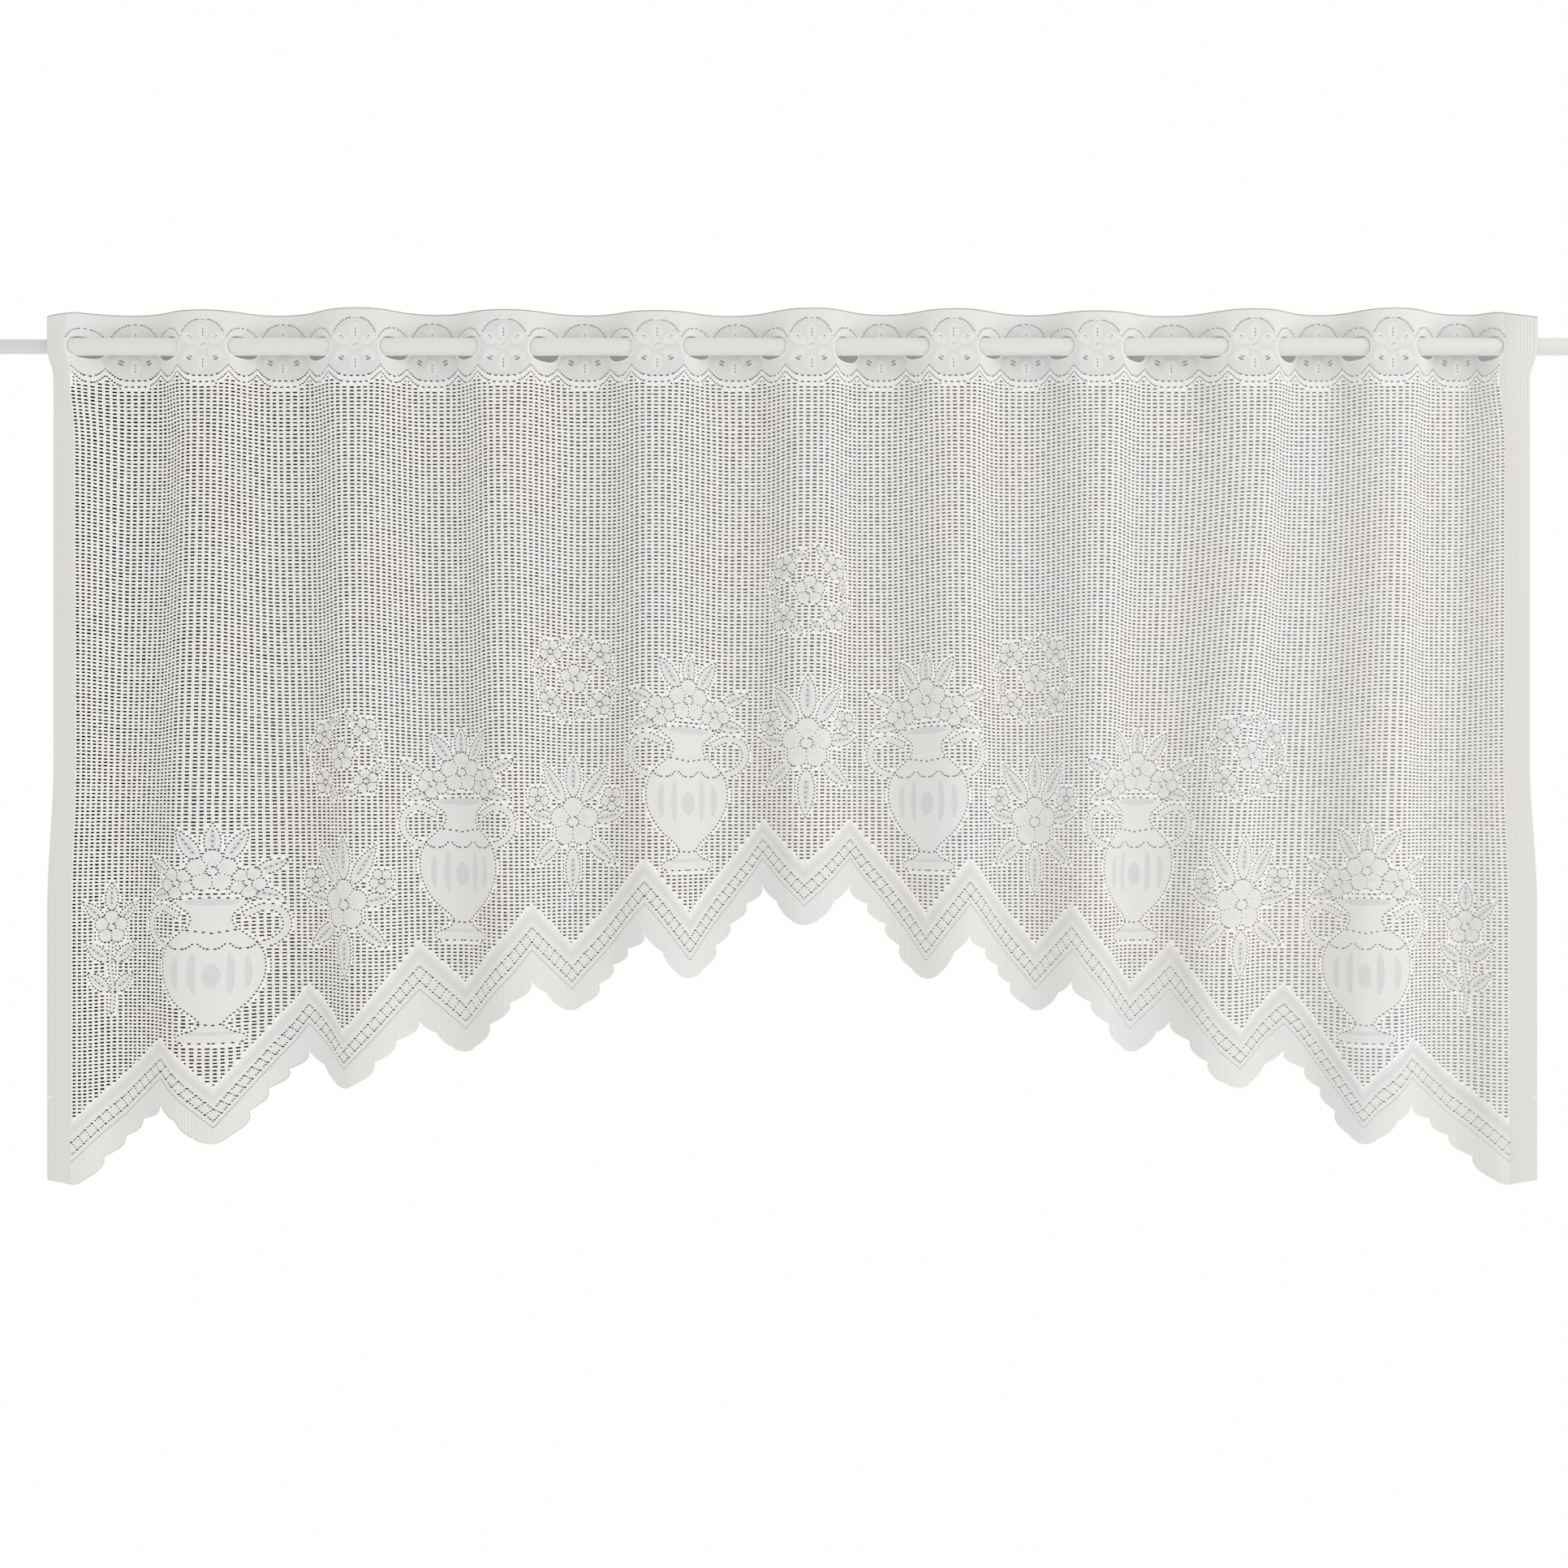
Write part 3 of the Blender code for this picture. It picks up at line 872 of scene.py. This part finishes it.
def eyelet(across, gap, rim=0.0):
    """Give the rounded slot of one eyelet, centred across the cloth, with its gap below the rod and a rim"""
    foot = -ROD_RADIUS - gap - rim
    middle, half_height = (EYELET_TOP + foot) / 2, (EYELET_TOP - foot) / 2
    turn = 2 * math.pi * (np.arange(EYELET_POINTS) + 0.5) / EYELET_POINTS
    power = 2 / EYELET_SQUARENESS
    side = np.sign(np.cos(turn)) * np.abs(np.cos(turn)) ** power
    rise = np.sign(np.sin(turn)) * np.abs(np.sin(turn)) ** power
    return np.column_stack((across + (EYELET_HALF_WIDTH + rim) * side, middle + half_height * rise))


def heading_pattern():
    """Draw the flowers, their fields, the dotted arcs and the white band that the net hangs from"""
    pattern = Pattern()
    top = np.array(((0, HEAD_TOP), (FLAT_WIDTH, HEAD_TOP)))
    foot = repeated(LOWER_CONTOUR, BAND_HEIGHT)
    ends = np.array(((0, foot[0][1]), (FLAT_WIDTH, foot[-1][1])))
    pattern.layer(np.vstack((top, ends[1:], foot[::-1], ends[:1])))
    pattern.layer(np.vstack((repeated(LOWER_CONTOUR), foot[::-1])), RIM, solid=False)
    for station in range(1, len(STATIONS) - 1):
        middle = np.array((station * STATION_PITCH, 0.0))
        half = np.array(FIELD_OUTLINE, dtype=float)
        field = np.vstack((half * (-1, 1), half[::-1][1:-1])) + middle
        pattern.layer(field, FIELD, solid=False)
        for x, z, turn in PETALS:
            pattern.layer(oval(middle[0] + x, z, 7.2, 4.7 if x else 4.2, turn, points=14), solid=False)
        pattern.layer(oval(middle[0], 0, 4.6, 4.4, points=12), solid=False)
        for side in (-1, 1):
            for step in (0, 1):
                x = middle[0] + side * (SLIT_PLACE[0] + SLIT_STEP[0] * step)
                z = SLIT_PLACE[1] + SLIT_STEP[1] * step
                pattern.hole(oval(x, z, 2.7, 1.05, side * 28))
                pattern.hole(oval(x, 5.5 + 2.0 * step, 1.6, 0.4, side * -24))
        for step in (-1, 0, 1):
            pattern.hole(oval(middle[0] + step * 1.6, step * 0.9, 1.3, 0.3, -55))
            for height in VEIN_HEIGHTS:
                pattern.hole(oval(middle[0], height + step * 3.0, 0.55, 1.15))
        pattern.dots(mirrored_run(FIELD_OUTLINE[:5]) + middle, closed=False, pitch=2.5)
    for span in range(len(STATIONS) - 1):
        middle = np.array(((span + 0.5) * STATION_PITCH, 0.0))
        arc = mirrored_run([(37.5 - x, z) for x, z in reversed(LOBE_ARC)])
        pattern.dots(smooth(arc) + middle, closed=False, pitch=2.5)
    for drop, pitch in ((0.0, 2.5), (BAND_HEIGHT - 0.6, 2.6)):
        pattern.dots(repeated(LOWER_CONTOUR, drop), closed=False, pitch=pitch)
    for span, gap in enumerate(EYELET_GAPS):
        pattern.layer(eyelet(STATION_PITCH * (span + 0.5), gap, EYELET_RIM), RIM, solid=False)
    slots = [eyelet(STATION_PITCH * (span + 0.5), gap) for span, gap in enumerate(EYELET_GAPS)]
    centres = np.array([path.mean(axis=0) for _, path in pattern.holes])
    free = ~under_any(centres, slots) & (nearest(centres, np.vstack([walked(slot, 1.0)[0] for slot in slots])) > 1.6)
    pattern.holes = [hole for hole, ok in zip(pattern.holes, free) if ok]
    pattern.holes += [(len(pattern.layers), slot) for slot in slots]
    for x_0, x_1 in ((0, HEM_WIDTH), (FLAT_WIDTH - HEM_WIDTH, FLAT_WIDTH)):
        pattern.layer(((x_0, HEAD_FOOT), (x_1, HEAD_FOOT), (x_1, HEAD_TOP), (x_0, HEAD_TOP)), HEM)
    # A dark grey strip along the top edge: painted shade on the cloth's edge
    low = HEAD_TOP - EDGE_SHADE_WIDTH
    pattern.layer(((0, low), (FLAT_WIDTH, low), (FLAT_WIDTH, HEAD_TOP), (0, HEAD_TOP)), TOP_EDGE_SHADE)
    return pattern


def heading_cloth():
    """Knit the heading, with the net's first cells below its white band"""
    pattern = heading_pattern()
    lines = np.concatenate((np.arange(-HEM_COLUMNS, NET_COLUMNS + HEM_COLUMNS + 1),))
    across = line_across(lines) + HEM_WIDTH
    rows = np.arange(HEAD_FOOT, HEAD_TOP + 0.1, (HEAD_TOP - HEAD_FOOT) / 16)
    between = (across[1:] + across[:-1]) / 2
    points = [(x, z) for x in across for z in rows] + [(x, z) for x in between for z in rows[1:]]
    edges = []
    foot = [index for index, (x, z) in enumerate(points) if z == rows[0]]
    edges += list(zip(foot, foot[1:]))
    holes = pattern.shown_holes()
    dots = [path - (HEM_WIDTH, HEAD_FOOT) for path in holes]
    local = Pattern(relative=False)
    local.layers = [(path - (HEM_WIDTH, HEAD_FOOT), tone) for path, tone in pattern.layers]
    local.solid = pattern.solid
    cells = [(column, row) for column in range(NET_COLUMNS) for row in range(-NET_ROWS_IN_HEADING, 0)]
    extra = squeezed_holes(cells, local, dots)
    holes += [hole + (HEM_WIDTH, HEAD_FOOT) for hole in extra]
    corners, back, tones = triangulate(points, edges, pattern, holes)
    piece = Cloth()
    piece.add(corners, back, tones)
    return piece


def hem_cloth():
    """Knit the plain upper part of both side hems"""
    piece = Cloth()
    rows = np.arange(0, HEM_ROWS_ALONE + 1, 2)
    for first in (-HEM_COLUMNS, NET_COLUMNS):
        across = line_across(np.arange(first, first + HEM_COLUMNS + 1)) + HEM_WIDTH
        heights = HEAD_FOOT - rows * CELL_HEIGHT
        for left, right in zip(across, across[1:]):
            low, high = heights[1:], heights[:-1]
            square = np.stack([np.column_stack((np.full(len(low), x), z))
                               for x, z in ((left, low), (right, low), (right, high), (left, high))], axis=1)
            corners = square[:, [[0, 1, 2], [0, 2, 3]]].reshape(-1, 3, 2)
            piece.add(corners, np.zeros((len(corners), 3)), np.full(len(corners), HEM))
    return piece


# Where the motifs stand: how far out from the middle, the foot's height, and the motif
MOTIFS = (
    (0, -440, "spray"), (0, -272, "wreath"),
    (117, -484, "vase"),
    (234, -514, "spray"), (234, -348, "wreath"),
    (351, -550, "vase"),
    (468, -590, "spray"), (468, -424, "wreath"),
    (585, -642, "vase"),
    (690, -618, "sprig"),
)


def motif_cells_and_cloth():
    """Knit each kind of motif once, then lay it at its places on the net's grid"""
    kinds = {"vase": vase_motif(), "spray": spray_motif(), "wreath": wreath_motif(), "sprig": sprig_motif()}
    taken, cloth = set(), Cloth()
    for name, pattern in kinds.items():
        cells = touched_cells(pattern)
        knitted = weave(cells, pattern)
        for out, foot, kind in MOTIFS:
            if kind != name:
                continue
            for side in ((-1, 1) if out else (1,)):
                column = round((FLAT_WIDTH / 2 + side * out - HEM_WIDTH) / CELL_WIDTH)
                row = round((HEAD_FOOT - foot) / CELL_HEIGHT)
                here = {(a + column, b + row) for a, b in cells}
                if here & taken:
                    raise ValueError(f"motif {kind} at {side * out} overlaps another")
                taken |= here
                cloth.add_shifted(knitted, HEM_WIDTH + column * CELL_WIDTH, HEAD_FOOT - row * CELL_HEIGHT)
    return taken, cloth


# Materials

def lace_material(name, colour, dark, lines_up, lines_across, bump, start=0.0):
    """Make knitted white yarn. The lines are the knitting's pitch in mm, up and across from start, or None. Where the
    relief is low the colour turns to dark: the knit's lines, with painted shade in their hollows.
    """
    material = bpy.data.materials.new(name)
    material.use_nodes = True
    nodes, links = material.node_tree.nodes, material.node_tree.links
    shader = nodes["Principled BSDF"]
    shader.inputs["Roughness"].default_value = 0.9
    shader.inputs["Specular IOR Level"].default_value = 0.25
    shader.inputs["Sheen Weight"].default_value = 0.15
    shader.inputs["Sheen Roughness"].default_value = 0.5
    place = nodes.new("ShaderNodeUVMap")
    place.uv_map = "flat"
    apart = nodes.new("ShaderNodeSeparateXYZ")
    links.new(place.outputs["UV"], apart.inputs[0])
    relief = None
    for axis, pitch in (("X", lines_across), ("Y", lines_up)):
        if pitch is None:
            continue
        turns = nodes.new("ShaderNodeMath")
        turns.operation = "MULTIPLY_ADD"
        turns.inputs[1].default_value = 2 * math.pi * FLAT_WIDTH / pitch
        turns.inputs[2].default_value = -2 * math.pi * start / pitch if axis == "X" else 0.0
        links.new(apart.outputs[axis], turns.inputs[0])
        wave = nodes.new("ShaderNodeMath")
        wave.operation = "COSINE"
        links.new(turns.outputs[0], wave.inputs[0])
        level = nodes.new("ShaderNodeMapRange")
        level.inputs["From Min"].default_value = -1.0
        level.inputs["From Max"].default_value = 1.0
        links.new(wave.outputs[0], level.inputs["Value"])
        if relief is None:
            relief = level.outputs[0]
        else:
            both = nodes.new("ShaderNodeMath")
            both.operation = "MULTIPLY"
            links.new(relief, both.inputs[0])
            links.new(level.outputs[0], both.inputs[1])
            relief = both.outputs[0]
    # Colour follows the relief: darker in the knit's hollows, partly the knit's pattern and partly painted shade
    mix = nodes.new("ShaderNodeMix")
    mix.data_type = "RGBA"
    mix.inputs["A"].default_value = (*dark, 1)
    mix.inputs["B"].default_value = (*colour, 1)
    links.new(relief, mix.inputs["Factor"])
    tint = nodes.new("ShaderNodeTexNoise")
    tint.inputs["Scale"].default_value = 14.0
    tint.inputs["Detail"].default_value = 2.0
    links.new(place.outputs["UV"], tint.inputs["Vector"])
    ramp = nodes.new("ShaderNodeValToRGB")
    ramp.color_ramp.elements[0].position = 0.35
    ramp.color_ramp.elements[0].color = (1.0, 0.985, 0.975, 1)
    ramp.color_ramp.elements[1].position = 0.65
    ramp.color_ramp.elements[1].color = (0.975, 0.985, 1.0, 1)
    links.new(tint.outputs["Fac"], ramp.inputs["Fac"])
    tinted = nodes.new("ShaderNodeMix")
    tinted.data_type = "RGBA"
    tinted.blend_type = "MULTIPLY"
    tinted.inputs["Factor"].default_value = 1.0
    links.new(mix.outputs["Result"], tinted.inputs["A"])
    links.new(ramp.outputs["Color"], tinted.inputs["B"])
    links.new(tinted.outputs["Result"], shader.inputs["Base Color"])
    bumps = nodes.new("ShaderNodeBump")
    bumps.inputs["Strength"].default_value = bump
    bumps.inputs["Distance"].default_value = 0.3 * MM
    links.new(relief, bumps.inputs["Height"])
    links.new(bumps.outputs["Normal"], shader.inputs["Normal"])
    return material


def enamel_material(name, colour):
    """Make the white satin enamel of one tube, with faint unevenness"""
    material = bpy.data.materials.new(name)
    material.use_nodes = True
    nodes, links = material.node_tree.nodes, material.node_tree.links
    shader = nodes["Principled BSDF"]
    shader.inputs["Base Color"].default_value = (*colour, 1)
    shader.inputs["Coat Weight"].default_value = 0.3
    shader.inputs["Coat Roughness"].default_value = 0.2
    place = nodes.new("ShaderNodeTexCoord")
    noise = nodes.new("ShaderNodeTexNoise")
    noise.inputs["Scale"].default_value = 60.0
    links.new(place.outputs["Object"], noise.inputs["Vector"])
    level = nodes.new("ShaderNodeMapRange")
    level.inputs["To Min"].default_value = 0.3
    level.inputs["To Max"].default_value = 0.42
    links.new(noise.outputs["Fac"], level.inputs["Value"])
    links.new(level.outputs[0], shader.inputs["Roughness"])
    bumps = nodes.new("ShaderNodeBump")
    bumps.inputs["Strength"].default_value = 0.08
    bumps.inputs["Distance"].default_value = 0.2 * MM
    links.new(noise.outputs["Fac"], bumps.inputs["Height"])
    links.new(bumps.outputs["Normal"], shader.inputs["Normal"])
    return material


def glow_material(name, colour):
    """Make a plain glowing colour for the stage"""
    material = bpy.data.materials.new(name)
    material.use_nodes = True
    nodes, links = material.node_tree.nodes, material.node_tree.links
    nodes.clear()
    light = nodes.new("ShaderNodeEmission")
    light.inputs["Color"].default_value = (*colour, 1)
    out = nodes.new("ShaderNodeOutputMaterial")
    links.new(light.outputs[0], out.inputs["Surface"])
    return material


def lace_materials():
    """Make one material for each tone, in the tones' order"""
    thread_middle = HEM_WIDTH + CELL_WIDTH / 2
    # Each tone's second colour is the darker one in the knit's hollows: partly pattern, partly painted shade
    return [
        lace_material("lace_net", (0.93, 0.91, 0.895), (0.845, 0.825, 0.81), None, CELL_WIDTH, 0.3, thread_middle),
        lace_material("lace_dense", (0.835, 0.825, 0.81), (0.775, 0.765, 0.75), 1.65, 1.8, 0.35),
        lace_material("lace_medium", (0.79, 0.795, 0.795), (0.66, 0.67, 0.675), 1.725, 1.8, 0.5),
        lace_material("lace_hem", (0.80, 0.785, 0.765), (0.69, 0.68, 0.665), None, 1.9, 0.5),
        lace_material("lace_ribbed", (0.83, 0.83, 0.815), (0.735, 0.735, 0.72), None, 2.35, 0.6),
        lace_material("lace_stripe", (0.78, 0.775, 0.76), (0.68, 0.68, 0.67), 1.725, None, 0.4),
        lace_material("lace_field", (0.79, 0.785, 0.775), (0.68, 0.68, 0.67), 1.65, None, 0.4),
        lace_material("lace_rim", (0.88, 0.875, 0.865), (0.82, 0.815, 0.805), None, 1.8, 0.3),
        # The last two tones are dark strips of painted shade along the lower and top edges
        lace_material("lace_lower_edge_painted_shade", (0.66, 0.655, 0.65), (0.60, 0.595, 0.59), None, 2.35, 0.3),
        lace_material("lace_top_edge_painted_shade", (0.42, 0.42, 0.415), (0.36, 0.36, 0.355), None, 1.9, 0.3),
    ]


def make_piece(name, cloth, materials):
    """Turn flat triangles into a hung mesh"""
    corners = np.concatenate(cloth.corners)
    back = np.concatenate(cloth.back).reshape(-1)
    tones = np.concatenate(cloth.tones)
    keys = np.round(corners.reshape(-1, 2) * 1000).astype(np.int64)
    _, first, index = np.unique(keys[:, 0] * 10_000_000 + keys[:, 1], return_index=True, return_inverse=True)
    flat = corners.reshape(-1, 2)[first]
    points = hung_points(flat, back[first])
    faces = index.reshape(-1, 3)
    sound = (faces[:, 0] != faces[:, 1]) & (faces[:, 1] != faces[:, 2]) & (faces[:, 0] != faces[:, 2])
    faces, tones = faces[sound], tones[sound]
    mesh = bpy.data.meshes.new(name)
    mesh.vertices.add(len(points))
    mesh.vertices.foreach_set("co", points.ravel())
    mesh.loops.add(len(faces) * 3)
    mesh.loops.foreach_set("vertex_index", faces.ravel())
    mesh.polygons.add(len(faces))
    mesh.polygons.foreach_set("loop_start", np.arange(0, len(faces) * 3, 3))
    mesh.polygons.foreach_set("loop_total", np.full(len(faces), 3))
    for material in materials:
        mesh.materials.append(material)
    mesh.polygons.foreach_set("material_index", tones.astype(np.int32))
    layer = mesh.uv_layers.new(name="flat")
    uv = (flat[faces.ravel()] + (0, 800)) / FLAT_WIDTH
    layer.data.foreach_set("uv", uv.ravel())
    mesh.update(calc_edges=True)
    mesh.validate()
    mesh.shade_smooth()
    piece = bpy.data.objects.new(name, mesh)
    bpy.context.scene.collection.objects.link(piece)
    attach(piece, "root")
    print(name, len(faces), "triangles")
    return piece


def split_cloth(cloth, limits):
    """Part flat cloth into pieces at some places across it"""
    corners = np.concatenate(cloth.corners)
    back = np.concatenate(cloth.back)
    tones = np.concatenate(cloth.tones)
    side = np.searchsorted(limits, corners[:, :, 0].mean(axis=1))
    parts = []
    for index in range(len(limits) + 1):
        part = Cloth()
        part.add(corners[side == index], back[side == index], tones[side == index])
        parts.append(part)
    return parts


def flat_area(cloth):
    """Give a piece's flat size and area in metres, its small holes left open"""
    corners = np.concatenate(cloth.corners)
    first, second = corners[:, 1] - corners[:, 0], corners[:, 2] - corners[:, 0]
    area = np.abs(first[:, 0] * second[:, 1] - first[:, 1] * second[:, 0]).sum() / 2
    low, high = corners.min(axis=(0, 1)), corners.max(axis=(0, 1))
    return (high - low) * MM, area * MM * MM


def build_cloth():
    """Knit the whole curtain and hang it"""
    materials = lace_materials()
    edge_line = border_line(0.0)
    border = border_pattern()
    local = Pattern(relative=False)
    shift = np.array((HEM_WIDTH, HEAD_FOOT))
    local.layers = [(np.asarray(path) - shift, tone) for path, tone in border.layers]
    local.solid = border.solid
    local.holes = [(age, path - shift) for age, path in border.holes]
    outline = np.vstack((lower_edge(), ((FLAT_WIDTH, -100), (0, -100)))) - shift
    low_cells = border_cells(edge_line)
    low_cloth = Cloth()
    low_cloth.add_shifted(weave(low_cells, local, outline), *shift)
    taken, net = motif_cells_and_cloth()
    busy = taken | set(low_cells)
    free = np.array([(column, row) for column in range(NET_COLUMNS) for row in range(0, 225)
                     if (column, row) not in busy
                     and HEAD_FOOT - (row + 1) * CELL_HEIGHT > np.interp(
                         HEM_WIDTH + (column + 0.5) * CELL_WIDTH, edge_line[:, 0], edge_line[:, 1])])
    corners, back, tones = net_cells(free[:, 0], free[:, 1])
    net.add(corners + shift, back, tones)
    limits = [HEM_WIDTH + column * CELL_WIDTH for column in (85, 171)]
    for index, part in enumerate(split_cloth(net, limits)):
        piece = make_piece(f"net_{('left', 'middle', 'right')[index]}", part, materials)
        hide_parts("curtain_cloth")
        flat, area = flat_area(part)
    for name, part, node in (("border", low_cloth, "curtain_cloth"), ("hems", hem_cloth(), "curtain_cloth"),
                             ("heading", heading_cloth(), "heading_strip")):
        piece = make_piece(name, part, materials)
        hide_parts(node)
        flat, area = flat_area(part)
        if area < 0.3 * flat[0] * flat[1]:
            flat = (flat[0], area / flat[0] / 0.6)


# Stage, lights and camera

CAMERA_PLACE = (-0.0086, -1.58, -0.404)
LENS = 39.26
SENSOR = 36.0
FLOOR_HEIGHT = -1.25
BACKGROUND = (0.995, 1.0, 0.98)
ROOM_LIGHT = (0.76, 0.97)
# A glowing grey card close behind the cloth is painted shade, seen through the net's holes and the eyelet gaps. Its
# greys grow lighter to the right as painted light from that side.
CARD_GAP = 4.0
CARD_INSET = 6.0
CARD_TOP = 30.5
CARD_BEHIND_HEADING = 15.0
NET_SHADE_GREYS = (0.0, 0.28)
HEADING_SHADE_GREYS = (0.26, 0.34)


def painted_shade_card_material(name, greys):
    """Make the one-sided glowing grey of a shade card: painted shade, of one grey at the left and a lighter one at the
    right as painted light from that side
    """
    material = bpy.data.materials.new(name)
    material.use_nodes = True
    nodes, links = material.node_tree.nodes, material.node_tree.links
    nodes.clear()
    light = nodes.new("ShaderNodeEmission")
    place = nodes.new("ShaderNodeTexCoord")
    apart = nodes.new("ShaderNodeSeparateXYZ")
    links.new(place.outputs["Object"], apart.inputs[0])
    grey = nodes.new("ShaderNodeMapRange")
    grey.inputs["From Min"].default_value = -FLAT_WIDTH * 0.45 * MM
    grey.inputs["From Max"].default_value = FLAT_WIDTH * 0.45 * MM
    grey.inputs["To Min"].default_value, grey.inputs["To Max"].default_value = greys
    links.new(apart.outputs["X"], grey.inputs["Value"])
    links.new(grey.outputs[0], light.inputs["Color"])
    clear = nodes.new("ShaderNodeBsdfTransparent")
    side = nodes.new("ShaderNodeNewGeometry")
    mix = nodes.new("ShaderNodeMixShader")
    out = nodes.new("ShaderNodeOutputMaterial")
    links.new(side.outputs["Backfacing"], mix.inputs["Fac"])
    links.new(light.outputs[0], mix.inputs[1])
    links.new(clear.outputs[0], mix.inputs[2])
    links.new(mix.outputs[0], out.inputs["Surface"])
    return material


def build_shade_cards():
    """Hang glowing grey cards close behind the cloth, in its folds: painted shade seen through the net's holes, the
    eyelet gaps and slits, so that they read dark against white
    """
    edge = border_line(0.72)
    columns = np.linspace(CARD_INSET, FLAT_WIDTH - CARD_INSET, 301)
    foot = np.interp(columns, edge[:, 0], edge[:, 1])
    for name, greys, tops, feet in (("shade_card_net", NET_SHADE_GREYS, np.full(301, -20.0), foot),
                                    ("shade_card_heading", HEADING_SHADE_GREYS, np.full(301, CARD_TOP), np.full(301, -20.0))):
        shares = np.linspace(0, 1, 60 if name == "shade_card_net" else 10)
        flat = np.array([(x, top + (low - top) * s) for x, top, low in zip(columns, tops, feet) for s in shares])
        follow = smooth_share(flat[:, 1], -20.0, -46.0)
        points = hung_points(flat, np.full(len(flat), CARD_GAP))
        points[:, 1] = points[:, 1] * follow + CARD_BEHIND_HEADING * MM * (1 - follow)
        rows = len(shares)
        faces = [(i * rows + j + 1, (i + 1) * rows + j + 1, (i + 1) * rows + j, i * rows + j)
                 for i in range(300) for j in range(rows - 1)]
        mesh = bpy.data.meshes.new(name)
        mesh.from_pydata(points.tolist(), [], faces)
        mesh.shade_smooth()
        mesh.materials.append(painted_shade_card_material(name, greys))
        card = bpy.data.objects.new(name, mesh)
        bpy.context.scene.collection.objects.link(card)
        # Only the camera sees the cards: painted shade that neither blocks light nor gives it
        card.visible_shadow = False
        card.visible_diffuse = False
        card.visible_glossy = False
        card.visible_transmission = False


def build_stage():
    """Make the floor, the lights and the world"""
    mesh = bpy.data.meshes.new("floor")
    size = 12.0
    mesh.from_pydata([(-size, -size, 0), (size, -size, 0), (size, size, 0), (-size, size, 0)], [], [(0, 1, 2, 3)])
    mesh.materials.append(glow_material("pale_floor", BACKGROUND))
    floor = bpy.data.objects.new("floor", mesh)
    floor.location.z = FLOOR_HEIGHT
    bpy.context.scene.collection.objects.link(floor)
    world = bpy.data.worlds.new("studio")
    bpy.context.scene.world = world
    world.use_nodes = True
    nodes, links = world.node_tree.nodes, world.node_tree.links
    background = nodes["Background"]
    background.inputs["Color"].default_value = (*BACKGROUND, 1)
    way = nodes.new("ShaderNodeTexCoord")
    apart = nodes.new("ShaderNodeSeparateXYZ")
    links.new(way.outputs["Generated"], apart.inputs[0])
    ahead = nodes.new("ShaderNodeMapRange")
    ahead.inputs["From Min"].default_value = -0.1
    ahead.inputs["From Max"].default_value = 0.3
    links.new(apart.outputs["Y"], ahead.inputs["Value"])
    room = nodes.new("ShaderNodeMapRange")
    room.inputs["From Min"].default_value = -1.0
    room.inputs["To Min"].default_value, room.inputs["To Max"].default_value = ROOM_LIGHT
    links.new(apart.outputs["X"], room.inputs["Value"])
    strength = nodes.new("ShaderNodeMix")
    strength.inputs["B"].default_value = 1.0
    links.new(ahead.outputs[0], strength.inputs["Factor"])
    links.new(room.outputs[0], strength.inputs["A"])
    links.new(strength.outputs[0], background.inputs["Strength"])
    for name, place, power, size in (("key_light", (2.2, -1.5, 0.7), 11.0, 1.2),):
        light = bpy.data.lights.new(name, "AREA")
        light.energy = power
        light.size = size
        lamp = bpy.data.objects.new(name, light)
        lamp.location = place
        aim = Vector((0, 0, -0.35)) - Vector(place)
        lamp.rotation_euler = aim.to_track_quat("-Z", "Y").to_euler()
        bpy.context.scene.collection.objects.link(lamp)


def build_camera():
    """Put the camera where the photograph was taken from"""
    data = bpy.data.cameras.new("camera")
    data.lens = LENS
    data.sensor_width = SENSOR
    camera = bpy.data.objects.new("camera", data)
    camera.location = CAMERA_PLACE
    camera.rotation_euler = (math.radians(90), 0, 0)
    bpy.context.scene.collection.objects.link(camera)
    bpy.context.scene.camera = camera


def dress_rod():
    """Give the rod's tubes their enamel, the thinner tube's being a little greyer"""
    for name, colour in (("rod_outer", (0.74, 0.74, 0.73)), ("rod_inner", (0.66, 0.665, 0.665))):
        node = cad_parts[name]
        node.data.materials.clear()
        node.data.materials.append(enamel_material(f"{name}_enamel", colour))


build_camera()
build_cloth()
dress_rod()
build_shade_cards()
build_stage()
bpy.context.scene.view_settings.view_transform = "Standard"
bpy.context.scene.view_settings.look = "None"
